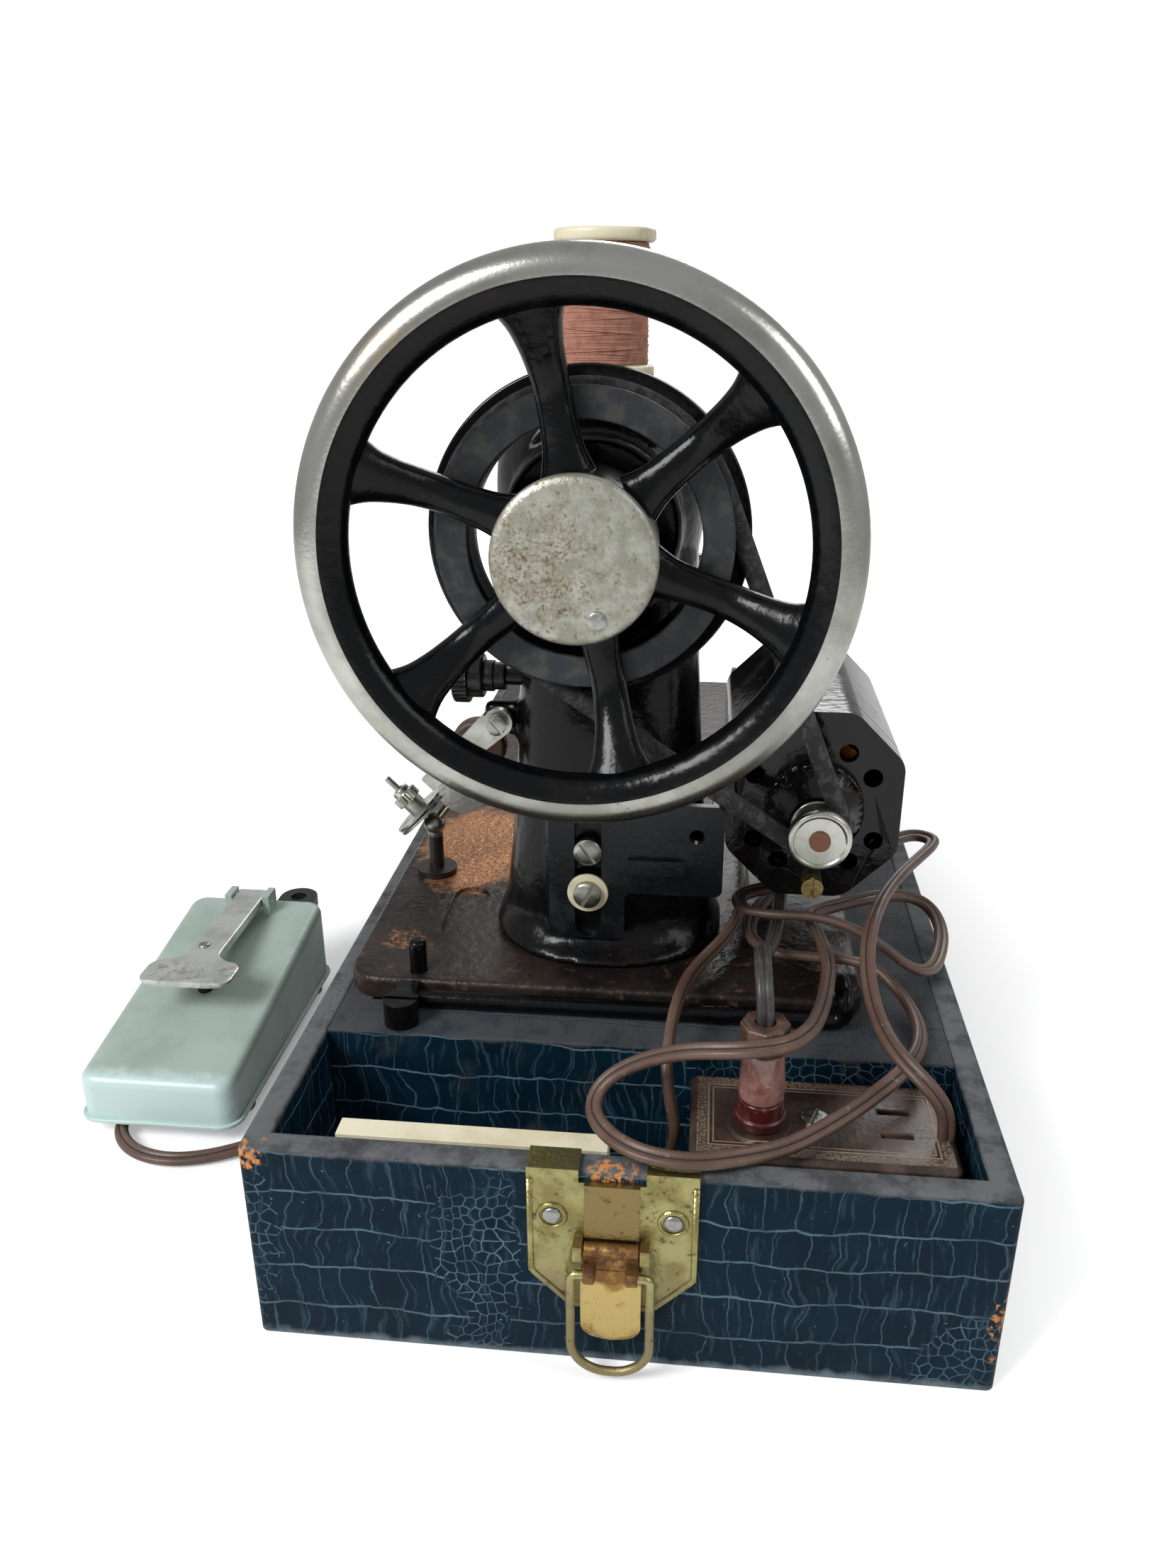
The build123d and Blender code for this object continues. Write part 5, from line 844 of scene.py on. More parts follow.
# %% Routes, in millimetres
CORD_WIDTH = 5.2
LYING = 2.8
MAINS_ROUTE = [
    (94, -193, 63), (94, -193, 71), (88.5, -191.5, 79), (80.5, -183, 83), (76, -170, 85), (74, -156, 89),
    (74, -143, 94.5), (77, -128, 98), (83, -109, 98.5), (91.5, -90, 98), (101, -72, 96.5), (107.5, -60.5, 96),
    (110, -52, 95.5), (103.5, -46.5, 95), (95, -51, 94.5), (84, -63, 94), (70, -80, 94), (56, -92, 94),
    (43, -96.5, 93.5), (33, -101, 92.5), (34, -111, 92), (45, -116, 93), (59, -118, 94.5), (70, -121.5, 93.5),
    (81, -125, 89), (91, -126.5, 81), (100, -119, 75), (106, -104, 73.5), (109.5, -88, 75), (106.5, -76, 79),
    (97, -74, 82), (86, -80, 84), (74, -85, 83), (63, -92, 83), (58.5, -103, 86), (61.5, -118, 87.3),
    (63.5, -136, 86), (61, -153, 86.5), (57.5, -172, 90.5), (53, -190, 95.5), (45.5, -203, 98.5),
    (32, -206.5, 98.5), (17, -200.5, 93.5), (3, -195, 85), (-7.5, -195, 77), (-10, -202.5, 72.4),
    (-4, -214, 72.8), (6, -221.5, 73.2), (20, -223.5, 73), (34, -219.5, 73), (47, -210.5, 70), (61, -197, 69),
    (74, -184.5, 70.5), (85, -173, 72.8), (91, -160, 73.2), (92, -146, 73.2), (88, -134, 75.5),
    (80.5, -126.5, 80.6), (69, -122.5, 81), (57, -122, 80.5), (45, -120, 80.3), (38, -111, 80.3),
    (38, -97, 80.3), (43.5, -82, 80.3), (52, -62, 80.3), (59, -25, 80.3), (58, 15, 80.3), (61, 60, 80.3),
    (60, 105, 80.3), (63, 150, 80.3), (61, 185, 80.3), (62, 210, 82.5), (62, 228, 80), (62, 236, 67),
    (62.5, 239, 47), (62, 241, 24), (60, 245, 10), (51, 251, 3.2), (38, 254.2, 2.8), (26, 252.2, 2.8),
]
CONTROL_ROUTE = [
    (19, -190, 24), (11.5, -190, 24), (7, -190, 29.5), (8, -190, 39), (13, -190.5, 48), (15, -190, 58),
    (12.5, -188.5, 68), (11.2, -183.5, 76), (12, -172, 82), (14, -158, 84.5), (17, -145, 84.5),
    (21.5, -132.5, 83.5), (26.5, -123, 84), (31.5, -112, 85), (34.5, -99, 85.5), (36, -85, 85), (37, -66, 83),
    (36, -38, 80.4), (39, -2, 80.3), (36, 40, 80.3), (39, 85, 80.3), (36, 130, 80.3), (38, 170, 80.3),
    (36, 207, 82.3), (36, 226, 80), (35.5, 234, 67), (34, 236.5, 46), (32, 238, 24), (25, 240, 8),
    (12, 242, 2.9), (-10, 239, 2.8), (-45, 241, 2.8), (-80, 239, 2.8), (-104, 236, 2.8), (-117, 226, 2.8),
    (-121, 205, 2.8), (-119, 165, 2.8), (-122, 120, 2.8), (-119, 75, 2.8), (-122, 30, 2.8), (-119, -15, 2.8),
    (-123, -60, 2.8), (-121, -98, 2.8), (-126, -126, 2.8), (-138, -143, 2.8), (-153, -152.5, 2.8),
    (-169, -156.5, 2.8), (-184, -153, 2.8), (-194, -143, 2.8), (-196, -130, 2.8), (-188, -118, 2.8),
    (-177, -110, 2.8), (-177, -96, 2.8),
]
LEAD_ROUTE = [
    (39.7, -192, 91.3), (39.7, -192, 101), (38.8, -187, 110), (38.6, -175, 112), (39.5, -160, 105),
    (41.5, -145, 95), (44, -130, 88), (46.5, -116, 86.6), (48, -102, 86.4), (49, -90, 88), (50, -80, 94),
    (50, -80, 102.5),
]

# %% [markdown]
# The rest of the mains cord is put away in two flat layers behind the case. Each half turn is a
# half circle about its own centre, so the coil winds in, climbs a layer and winds out. The
# control points stand a little outside the circle, because the spline cuts inside them.

# %% The put-away coil's points
COIL_X, COIL_Y = 10.0, 252.2
COIL_RADIUS, COIL_STEP = 34.8, 2.9
HALF_TURN_POINTS = 8
OUTSIDE = 1 / 0.981
inward = [COIL_RADIUS - step * COIL_STEP for step in range(4)]
half_turns = [(r, 0.0) for r in inward]
half_turns += [(inward[-1] - COIL_STEP, 2 * COIL_STEP)] + half_turns[::-1]
coil_points, here, side, coil_z = [], COIL_Y, 1, LYING
phase = (np.arange(HALF_TURN_POINTS) + 0.5) / HALF_TURN_POINTS
for r, rise in half_turns:
    x = COIL_X - side * r * OUTSIDE * np.sin(pi * phase)
    y = here + side * r - side * r * OUTSIDE * np.cos(pi * phase)
    coil_points.append(np.stack([x, y, coil_z + rise * phase], -1))
    here, side, coil_z = here + side * 2 * r, -side, coil_z + rise
COIL_END = (COIL_X + CORD_WIDTH, here, coil_z)
mains_points = MAINS_ROUTE + [(COIL_X + CORD_WIDTH, COIL_Y, LYING)]
mains_points += np.concatenate(coil_points).tolist() + [(COIL_X + 1.0, here, coil_z), COIL_END]
print("coil ends at", COIL_END)


# %% Cord maker
def spline_points(name, route):
    """The points Blender gives for a NURBS spline of order 3 through the route's ends."""
    curve = bpy.data.curves.new(name + "_line", "CURVE")
    curve.dimensions = "3D"
    curve.resolution_u = 6
    line = curve.splines.new("NURBS")
    line.points.add(len(route) - 1)
    line.points.foreach_set("co", np.c_[np.array(route, float) * MM, np.ones(len(route))].ravel())
    line.order_u = 3
    line.use_endpoint_u = True
    holder = bpy.data.objects.new(name + "_line", curve)
    bpy.context.collection.objects.link(holder)
    mesh = bpy.data.meshes.new_from_object(holder)
    points = np.empty(len(mesh.vertices) * 3)
    mesh.vertices.foreach_get("co", points)
    bpy.data.objects.remove(holder)
    bpy.data.meshes.remove(mesh)
    return points.reshape(-1, 3) / MM


def twin_outline(width, count=24, waist=0.38):
    """Two joined wires: radius along the outline dips towards the middle of each flat side."""
    a = np.arange(count) * 2 * pi / count
    half_thick = width * 0.34
    dip = 1 - waist * np.exp(-((np.cos(a) / 0.32) ** 2))
    return np.stack([width / 2 * np.cos(a), half_thick * np.sin(a) * (1 + 0.25 * np.cos(a) ** 2) * dip], -1)


UV_HALF = 10.0


def cord_piece(name, route, material, slot, *replaces, **facts):
    """A flat cord along the spline. Its UV map is the run, and UV_HALF cos a across."""
    path = spline_points(name, route)
    run = run_length(path)
    outline = twin_outline(CORD_WIDTH)
    points, faces = skinned(swept(path, outline, side=(1.0, 0.2, 0.0)))
    across = UV_HALF * np.cos(np.arange(len(outline)) * 2 * pi / len(outline))
    uv = np.stack(np.broadcast_arrays(run[:, None], across[None]), -1).reshape(-1, 2)
    uv = np.concatenate([uv, np.full((2, 2), UV_HALF)])
    piece = make_piece(name, points, faces, material, "machine", slot, *replaces, uv=uv)
    print(name, "length", round(run[-1]), "mm")


# %% The three cords, and the mains plug on its end
plug = softened("mains_plug", bakelite, "machine", 0.8)
cord_piece(
    "mains_flex", mains_points, cord_brown, "cord_sheath", "mains_cord", "mains_coil",
    far_end="plug", with_pieces=[plug],
)
cord_piece("control_flex", CONTROL_ROUTE, cord_brown, "cord_sheath", "control_cord", far_end="object")
cord_piece("motor_flex", LEAD_ROUTE, lead_grey, "lead_sheath", "motor_lead", far_end="object")

# %% [markdown]
# ## Light and floor
# Soft lamps stand left, right and behind. The room is white only to the camera and grey to
# everything else, so black varnish stays black. Away from the object the floor turns white.

# %% Lamps, room and floor
LOOK_AT = Vector((0, -60, 120)) * MM
for name, place, size, power in (
    ("window", (-800, -900, 1000), 0.55, 17.0),
    ("wall", (1000, -500, 900), 0.7, 3.5),
    ("far_side", (200, 1100, 900), 0.7, 7.0),
):
    lamp = bpy.data.objects.new(name, bpy.data.lights.new(name, "AREA"))
    lamp.data.size = size
    lamp.data.energy = power
    lamp.location = Vector(place) * MM
    lamp.rotation_euler = (LOOK_AT - lamp.location).to_track_quat("-Z", "Y").to_euler()
    bpy.context.collection.objects.link(lamp)

world = bpy.data.worlds.new("room")
bpy.context.scene.world = world
world.use_nodes = True
tree = world.node_tree
rays = put(tree, "LightPath")
seen = maths(tree, "MAXIMUM", rays["Is Camera Ray"], rays["Is Transmission Ray"])
level = ramp(tree, seen, 0.0, 1.0, (0.42, 1.0))
feed(tree, tree.nodes["Background"], {"Color": (1.0, 1.0, 1.0, 1.0), "Strength": level})

floor_paint, tree, shader, place = new_material("floor_paint")
away = off_centre(tree, place, (-0.03, 0.02, 0.0), (1.15, 0.75, 1.0))
bright = ramp(tree, away, 0.12, 0.48, (0.2, 1.0), interpolation_type="SMOOTHSTEP")
glow = maths(tree, "MULTIPLY", bright, put(tree, "LightPath")["Is Camera Ray"])
feed(tree, shader, {"Base Color": (0.86, 0.86, 0.86, 1.0), "Roughness": 0.9})
feed(tree, shader, {"Emission Color": glow, "Emission Strength": 1.0})
FLOOR_HALF = 3.0
floor_mesh = bpy.data.meshes.new("floor")
corners = [(x * FLOOR_HALF, y * FLOOR_HALF, 0.0) for x, y in ((-1, -1), (1, -1), (1, 1), (-1, 1))]
floor_mesh.from_pydata(corners, [], [(0, 1, 2, 3)])
floor_mesh.materials.append(floor_paint)
floor = bpy.data.objects.new("floor", floor_mesh)
bpy.context.collection.objects.link(floor)

# %% [markdown]
# ## The case
# The walls are one profile carried round a rectangle. The top edges are rubbed round. The UV
# map runs along the wall, so the scales go round the corners.

# %% Walls
WALL_X, WALL_Y = (-109.0, 109.0), (-225.0, 225.0)
WALL_TOP, WALL_THICK = 69, 8
wall_corners = [(0, 0), (0, WALL_TOP), (WALL_THICK, WALL_TOP), (WALL_THICK, 0)]
profile = rounded(wall_corners, (0.6, 1.8, 1.2, 0.5), 4)
walls = plan_loops(WALL_X, WALL_Y, profile, 2.5, runs=24, least=0.4)
walls = np.concatenate([walls, walls[:1]])
walls = np.concatenate([walls, walls[:, :1]], axis=1)
up = run_length(profile)
up = np.r_[up, up[-1] + WALL_THICK]
wall_uv = np.stack(np.broadcast_arrays(run_length(walls[0])[None], up[:, None]), -1).reshape(-1, 2)
wall_faces = grid_faces(*walls.shape[:2])
make_piece(
    "case_covered", walls.reshape(-1, 3), wall_faces, case_covering, "machine", "case_covering",
    "case_walls", uv=wall_uv, sharp=50,
)

# %% Boards, rails and tray
for node, material, slot in (
    ("tray_partition", board_covering, "case_covering"),
    ("bed_rails", board_covering, "worn_wood"),
    ("case_floor", worn_wood, "worn_wood"),
):
    softened(node, material, "machine", 0.6)

# %% [markdown]
# ## The handwheel
# The rim is a half-round nickel ring on a black flange. Six horn-shaped spokes run back to the
# hub, flaring at both ends. Each spoke is a superellipse whose width, thickness and depth are
# smooth curves of the radius.

# %% Rim, spokes and hub
SHAFT = (-17.5, 226.4)
RIM_Y, RIM_MIDDLE = -165.0, 71.5


def rim_arc(start, end, deep, wide, count):
    """Part of an ellipse in the rim's section: along = y + deep sin a, radius = r + wide cos a."""
    a = np.linspace(radians(start), radians(end), count)
    return np.stack([RIM_Y + deep * np.sin(a), RIM_MIDDLE + wide * np.cos(a)], -1)


bead = lathe(rim_arc(-98, 98, 6.9, 7.2, 40), SHAFT, segments=192)
make_piece("wheel_rim", *bead, rim_nickel, "wheel", "nickel", "handwheel")
HUB = [(-169.0, 0), (-169.0, 22), (-146.0, 22), (-125.4, 20.5), (-125.4, 0)]
SPOKE_RADII = (15, 20, 26, 34, 44, 50, 56, 61, 65, 69)
SPOKE_WIDTHS = (20, 16.5, 12.6, 10.8, 10.6, 11.2, 12.8, 15.6, 20.5, 29)
SPOKE_THICK = (12, 10.6, 9.2, 9.0, 9.0, 9.0, 9.2, 9.6, 10, 10.2)
SPOKE_BACK = (15.9, 15.7, 15.5, 15.4, 15.3, 12.8, 8.9, 5.6, 3.0, 0.8)
FIRST_SPOKE, SPOKES = -19.3, 6
radius = np.linspace(SPOKE_RADII[0], SPOKE_RADII[-1], 40)[:, None]
outline = superellipse(2.15, 32)
across = smooth_between(radius, SPOKE_RADII, SPOKE_WIDTHS) / 2 * outline[None, :, 0]
behind = smooth_between(radius, SPOKE_RADII, SPOKE_THICK) / 2 * outline[None, :, 1]
behind = RIM_Y + smooth_between(radius, SPOKE_RADII, SPOKE_BACK) + behind
spokes = []
for k in range(SPOKES):
    angle = radians(FIRST_SPOKE + 360 / SPOKES * k)
    c, s = cos(angle), sin(angle)
    x, z = SHAFT[0] + radius * c - across * s, SHAFT[1] + radius * s + across * c
    spokes.append(skinned(np.stack([x, behind, z], -1)))
band = lathe(rim_arc(90, 270, 6.5, 8.0, 28), SHAFT, segments=160)
hub = turned(HUB, (0, 1.2, 4.0, 1.0, 0), SHAFT, segments=80, steps=4)
make_piece("wheel_casting", *joined(band, hub, *spokes), japan, "wheel", "japan", "handwheel")

# %% Belt ring, clutch disc and its screw
RING = [
    (-145, 34.2), (-145, 43.5), (-143, 43.5), (-141.4, 39.2), (-134.6, 39.2), (-133, 48.5),
    (-129, 48.5), (-129, 34.2),
]
ring_paint = finish(
    "ring_paint", (12, 12, 14), 0.14, shine=0.28,
    layers=[
        (beyond(1, -143.6, -144.4, 0.3), (52, 56, 60), 0.5, 0.2),
        (both(beyond(1, -143.0, -144.0), patchy(0.008, 0.4, 0.1)), (76, 76, 74), 0.6, 0.2),
    ],
)
ring = turned(RING, 0.7, SHAFT, segments=160)
make_piece("belt_ring", *ring, ring_paint, "wheel", "japan", "belt_pulley")
DISC = [(-169.1, 0), (-169.1, 23), (-172.6, 23), (-173.6, 21.2), (-174.1, 0)]
disc = turned(DISC, (0, 0.6, 1.0, 1.6, 0), SHAFT, segments=128, steps=5)
make_piece("clutch_face", *disc, disc_nickel, "clutch", "nickel", "clutch_disc")


def slotted_head(centre, radius, height, slot, deep, degrees):
    """Screw head that faces -Y: height (1 - 0.35 (r / radius)^4), and lower by deep in the slot.

    Its grid has columns at the slot's edges and close together near the rim.
    """
    edges = [0, slot / 2, slot / 2 + 0.02, radius * 0.6, radius * 0.86, radius * 0.97, radius]
    u = np.array(sorted({-e for e in edges} | set(edges)))
    rows, around = 21, 48
    x = np.broadcast_to(u[:, None], (len(u), rows))
    y = np.linspace(-1, 1, rows) * np.sqrt(np.maximum(radius**2 - x**2, 0))
    top = height * (1 - 0.35 * (np.sqrt(x**2 + y**2) / radius) ** 4)
    top = np.where(abs(x) <= slot / 2 + 1e-9, top - deep, top)
    c, s = cos(radians(degrees)), sin(radians(degrees))
    face = np.stack([centre[0] + x * c - y * s, centre[1] - top, centre[2] + x * s + y * c], -1)
    loop = ellipse(radius, radius, around) + (centre[0], centre[2])
    skirt = [np.insert(loop, 1, centre[1] - h, axis=1) for h in (0.0, height * 0.64)]
    return joined((face.reshape(-1, 3), grid_faces(len(u), rows)), skinned(skirt))


screw = slotted_head((-10.9, -173.4, 210.8), 2.6, 1.2, 0.9, 0.7, -35)
make_piece("clutch_screw_head", *screw, steel, "clutch", "nickel", "clutch_screw")

# %% [markdown]
# ## Spool and thread
# The spool is turned; the thread is wound. One fine tube climbs the barrel in many close turns,
# and two more cross it steeply, as thread does when a machine winds it.

# %% Spool and winding
SPOOL = (-17.5, -80.0)
SPOOL_PROFILE = [
    (268, 2.6), (268, 16), (272, 16), (272, 12.8), (308, 12.8), (308, 16), (312, 16), (312, 8.5),
    (310.6, 8), (310.6, 2.6),
]
spool = turned(SPOOL_PROFILE, (0.3, 1.2, 1.4, 0.5, 0.5, 1.4, 1.4, 0.8, 0.6, 0.3), SPOOL, "Z", 96, 4)
make_piece("spool_turned", *spool, cream, "spool", "spool_plastic", "thread_spool")


def wound(turns, low, high, radius, wire, per_turn=60):
    """Helix x = r cos a, y = r sin a, z rising evenly, as a tube; r swells a little as it goes."""
    a = np.linspace(0, 2 * pi * turns, int(turns * per_turn))
    r = radius + 0.10 * np.sin(a * 0.37) + 0.06 * np.sin(a * 1.9)
    x, y = SPOOL[0] + r * np.cos(a), SPOOL[1] + r * np.sin(a)
    path = np.stack([x, y, np.linspace(low, high, len(a))], -1)
    return skinned(swept(path, ellipse(wire, wire, 6)))


winding = joined(
    wound(62, 272.5, 307.4, 13.6, 0.42, 40),
    wound(7.3, 273.2, 306.8, 13.95, 0.26),
    wound(5.1, 306.5, 273.6, 13.98, 0.24),
)
make_piece("thread_wound", *winding, thread_cotton, "spool", "thread", "spool_thread")
softened("spool_pin", nickel, "machine", 0.4)

# %% [markdown]
# ## The arm casting
# Pillar, arm and head are separate stacks of rounded sections. A voxel remesh joins them as one
# skin and smoothing fills the corners, which is how a cast-iron arm looks: no seam, and a soft
# fillet everywhere.

# %% Arm
SECTION_POINTS = 64
PILLAR_X, PILLAR_Y = -14.0, -91.0
PILLAR_LIFT = (77.0, 79.0, 82.0, 87.0, 96.0, 117.0, 150.0, 177.0, 215.0)
PILLAR_WIDE = (84.0, 83.5, 80.5, 77.0, 74.0, 69.0, 64.0, 61.0, 58.0)
PILLAR_DEEP = (84.0, 81.0, 72.0, 63.0, 61.5, 60.0, 58.0, 56.0, 56.0)
PILLAR_POWER = (2.3, 2.3, 2.35, 2.4, 2.45, 2.5, 2.7, 2.9, 3.1)
lift = np.linspace(PILLAR_LIFT[0], PILLAR_LIFT[-1], 60)
powers = smooth_between(lift, PILLAR_LIFT, PILLAR_POWER)
outlines = np.array([superellipse(power, SECTION_POINTS) for power in powers])
lift = lift[:, None] * np.ones((1, SECTION_POINTS))
x = PILLAR_X + smooth_between(lift, PILLAR_LIFT, PILLAR_WIDE) / 2 * outlines[:, :, 0]
y = PILLAR_Y + smooth_between(lift, PILLAR_LIFT, PILLAR_DEEP) / 2 * outlines[:, :, 1]
pillar = skinned(np.stack([x, y, lift], -1))
ARM_TOP = 264.0
ARM_Y = (-117.0, -112.0, -50.0, 45.0, 141.0)
ARM_WIDE = (46.0, 54.0, 56.0, 48.0, 44.0)
ARM_TALL = (50.0, 58.0, 60.0, 54.0, 46.0)
ARM_DROP = (4.5, 1.5, 0.0, 5.0, 15.5)
outline = superellipse(2.7, SECTION_POINTS)[None]
run = np.linspace(ARM_Y[0], ARM_Y[-1], 70)[:, None] * np.ones((1, SECTION_POINTS))
tall = smooth_between(run, ARM_Y, ARM_TALL) / 2
x = SHAFT[0] + smooth_between(run, ARM_Y, ARM_WIDE) / 2 * outline[:, :, 0]
z = ARM_TOP - smooth_between(run, ARM_Y, ARM_DROP) - tall + tall * outline[:, :, 1]
arm = skinned(np.stack([x, run, z], -1))
HEAD = [(2.0, 130.0), (0, 131.5), (0, 236.0), (3.0, 244.0), (9.0, 248.0)]
head_profile = rounded(HEAD, (1.0, 1.5, 4, 4, 1), 4, closed=False)
head = skinned(plan_loops((-42.0, 7.0), (135.0, 185.0), head_profile, 11.0))
BOSS = [(-125.0, 0), (-125.0, 28), (-112.0, 28), (-112.0, 0)]
boss = turned(BOSS, (0, 2.5, 1, 0), SHAFT, segments=64, steps=4)
ears = [
    skinned(plan_loops(x, y, [(0.8, low), (0, low + 1), (0, high - 1), (0.8, high)], 2.0))
    for x, y, low, high in (
        ((-32.5, -4.5), (-123.0, -109.0), 84.0, 134.0),
        ((-57.5, -38.0), (-102.0, -96.0), 151.0, 163.0),
    )
]
casting = joined(pillar, arm, head, boss, *ears)
arm_piece = make_piece("arm_casting", *casting, japan, "machine", "japan", "arm", sharp=180)
remesh = arm_piece.modifiers.new("one_skin", "REMESH")
remesh.mode = "VOXEL"
remesh.voxel_size = 0.0016
remesh.use_smooth_shade = True
soften = arm_piece.modifiers.new("cast_fillets", "SMOOTH")
soften.factor = 0.5
soften.iterations = 6

# %% [markdown]
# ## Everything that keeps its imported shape
# The other pieces are blocks, pins and sheets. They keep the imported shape, with softened edges
# and their own finish.

# %% Pieces that keep their shape
for node, material, body, slot, width in (
    ("bed", bed_japan, "machine", "japan", 0.5),
    ("corner_pin", japan, "machine", "japan", 0.4),
    ("throat_plate", nickel, "machine", "nickel", 0.2),
    ("slide_plate", nickel, "slide", "nickel", 0.3),
    ("feed_dog", steel, "feed", "bright_steel", 0.2),
    ("hook_shaft", dark_steel, "hook", "dark_steel", 0.4),
    ("hold_down_bar", japan, "machine", "japan", 0.3),
    ("bar_post", japan, "post", "japan", 0.5),
    ("face_plate", nickel, "machine", "nickel", 0.5),
    ("shaft_bushes", oil_brass, "machine", "oil_brass", 0.2),
    ("main_shaft", steel, "wheel", "bright_steel", 0.4),
    ("drive_belt", belt_cloth, "machine", "belt_rubber", 0.1),
    ("motor_body", motor_paint, "machine", "motor_black", 1.2),
    ("oil_cap", oil_brass, "machine", "oil_brass", 0.3),
    ("motor_bracket", bracket_paint, "machine", "bracket_paint", 0.6),
    ("needle_bar", steel, "needle_slide", "bright_steel", 0.3),
    ("needle", steel, "needle_slide", "bright_steel", 0.02),
    ("presser_bar", steel, "presser", "bright_steel", 0.3),
    ("presser_foot", nickel, "presser", "nickel", 0.4),
    ("lifter_lever", nickel, "lifter", "nickel", 0.4),
    ("take_up_lever", nickel, "take_up", "nickel", 0.4),
    ("winder_frame", nickel, "winder", "nickel", 0.4),
    ("tension_unit", post_nickel, "machine", "nickel", 0.3),
    ("terminal_block", bakelite, "machine", "bakelite", 0.6),
    ("instruction_card", paper, "machine", "card", 0.3),
    ("latch_plate", brass, "machine", "latch_brass", 0.35),
    ("latch_bail", brass, "bail", "latch_brass", 0.2),
    ("controller_shell", enamel, "machine", "controller_paint", 0.5),
    ("controller_base", enamel, "machine", "controller_paint", 0.4),
    ("controller_feet", foot_rubber, "machine", "foot_rubber", 0.6),
    ("plunger", black_plastic, "push_rod", "black_plastic", 0.4),
    ("armature", copper, "rotor", "dark_steel", 0.3),
):
    softened(node, material, body, width)
softened("motor_end_plate", motor_paint, "machine", 0.4, long_edges=(1, 1.0, 6.0))

# %% [markdown]
# ## The latch
# The plate is a stamped sheet with a rolled edge; the lever hangs from a barrel hinge and ends in
# a cupped tongue. A ring is pressed round each pale rivet.

# %% Latch lever, rivets and rolled edge
LATCH_X, LATCH_FACE = -1.5, -226.2
PIN_Y, PIN_Z = -228.6, 45.0
LEAF_HALF, PIN_HALF = 7.75, 10.7
TONGUE_HALF, TONGUE_FOOT, FOOT_ROUND = 8.6, 13.0, 5.6


def tongue_half(height):
    """Half width of the tongue, less near its foot, where the corners are circles."""
    up = np.clip(height - TONGUE_FOOT, 0, FOOT_ROUND)
    return TONGUE_HALF - FOOT_ROUND + np.sqrt(np.maximum(FOOT_ROUND**2 - (FOOT_ROUND - up) ** 2, 0.04))


def leaf_half(height):
    """Half width of the leaf, the same all the way up."""
    return LEAF_HALF + 0 * height


hooks = [
    slab((x - 1.8, x + 1.8), (-233.9, PIN_Y), (36.9, 41.1), 1.0, 0.8) for x in (LATCH_X - 6.0, LATCH_X + 6.0)
]
lever = joined(
    rod(LATCH_X - LEAF_HALF, LATCH_X + LEAF_HALF, 2.2, 0.4, (PIN_Y, PIN_Z), "X", 32),
    rod(LATCH_X - PIN_HALF, LATCH_X + PIN_HALF, 1.5, 0.4, (PIN_Y, PIN_Z), "X", 24),
    bent_sheet(LATCH_X, tongue_half, (TONGUE_FOOT, 38.6), PIN_Y - 0.5, 1.3, 0.5, 1.4),
    bent_sheet(LATCH_X, leaf_half, (36.5, 45.0), PIN_Y - 0.7, 1.4, 0.0, rows=4),
    *hooks,
)
make_piece("latch_tongue", *lever, rusty_brass, "lever", "latch_brass", "latch_lever", sharp=50)
RIVET = [(-225.0, 0), (-225.0, 2.8), (-226.6, 2.8), (-227.3, 1.6), (-227.4, 0)]
RIVET_RING = [(-226.0, 3.1), (-226.9, 3.3), (-226.9, 4.3), (-226.0, 4.6)]
for side, label in ((-17.0, "left"), (17.0, "right")):
    at = (LATCH_X + side, 54.0)
    rivet = turned(RIVET, (0, 0.2, 0.5, 1.0, 0), at, "Y", 40, 4)
    make_piece("rivet_" + label, *rivet, steel, "machine", "rivet_steel", "latch_rivets")
    ring = turned(RIVET_RING, 0.4, at, "Y", 40)
    make_piece("rivet_ring_" + label, *ring, brass, "machine", "latch_brass", "latch_plate")
PLATE_EDGE = [(23.2, 66.4), (23.2, 33.9), (11.6, 22.3), (0.0, 22.3)]
for side, label in ((-1, "left"), (1, "right")):
    line = rounded([(LATCH_X + side * x, z) for x, z in PLATE_EDGE], 1.5, 5, closed=False)
    roll = swept(np.insert(line, 1, LATCH_FACE - 0.1, axis=1), ellipse(0.9, 0.45, 10), side=(side, 0.0, 0.1))
    make_piece(
        "latch_edge_" + label, *skinned(roll), brass, "machine", "latch_brass", "latch_plate", sharp=180
    )

# %% [markdown]
# ## The plug and the screws
# The plug is three mouldings: a dark red base, a glossy sleeve and an eight-sided collar. Screw
# heads are slotted, each slot at its own angle.

# %% Plug, screws
PLUG = (39.7, -192.0)
PLUG_BASE = [
    (55.5, 0), (55.5, 4.9), (64.4, 4.9), (64.4, 7.0), (66.6, 7.0), (66.9, 7.7), (68.0, 7.7),
    (68.3, 7.0), (73.5, 6.9), (73.5, 0),
]
PLUG_SLEEVE = [(73.6, 0), (73.6, 6.6), (76.0, 7.0), (90.0, 6.1), (90.0, 0)]
PLUG_COLLAR = [(90.1, 3.2), (90.1, 7.0), (98.5, 7.3), (99.1, 6.6), (99.1, 3.2)]
for name, corners, radii, material, sides, sharp in (
    ("plug_base", PLUG_BASE, (0, 0.3, 0.1, 0.5, 0.2, 0.4, 0.4, 0.2, 0.6, 0), plug_red, 48, 40),
    ("plug_sleeve", PLUG_SLEEVE, (0, 0.8, 1.5, 0.5, 0), plug_sleeve, 48, 40),
    ("plug_collar", PLUG_COLLAR, (0.2, 0.8, 0.8, 0.4, 0.3), plug_collar, 8, 30),
):
    shape = turned(corners, radii, PLUG, "Z", sides)
    make_piece(name, *shape, material, "machine", "plug_plastic", "connector_plug", sharp=sharp)
BLOCK_TOP = 63.0
upright, faces = slotted_head((56.4, 0.0, 188.0), 4.2, 1.8, 1.0, 0.9, 20)
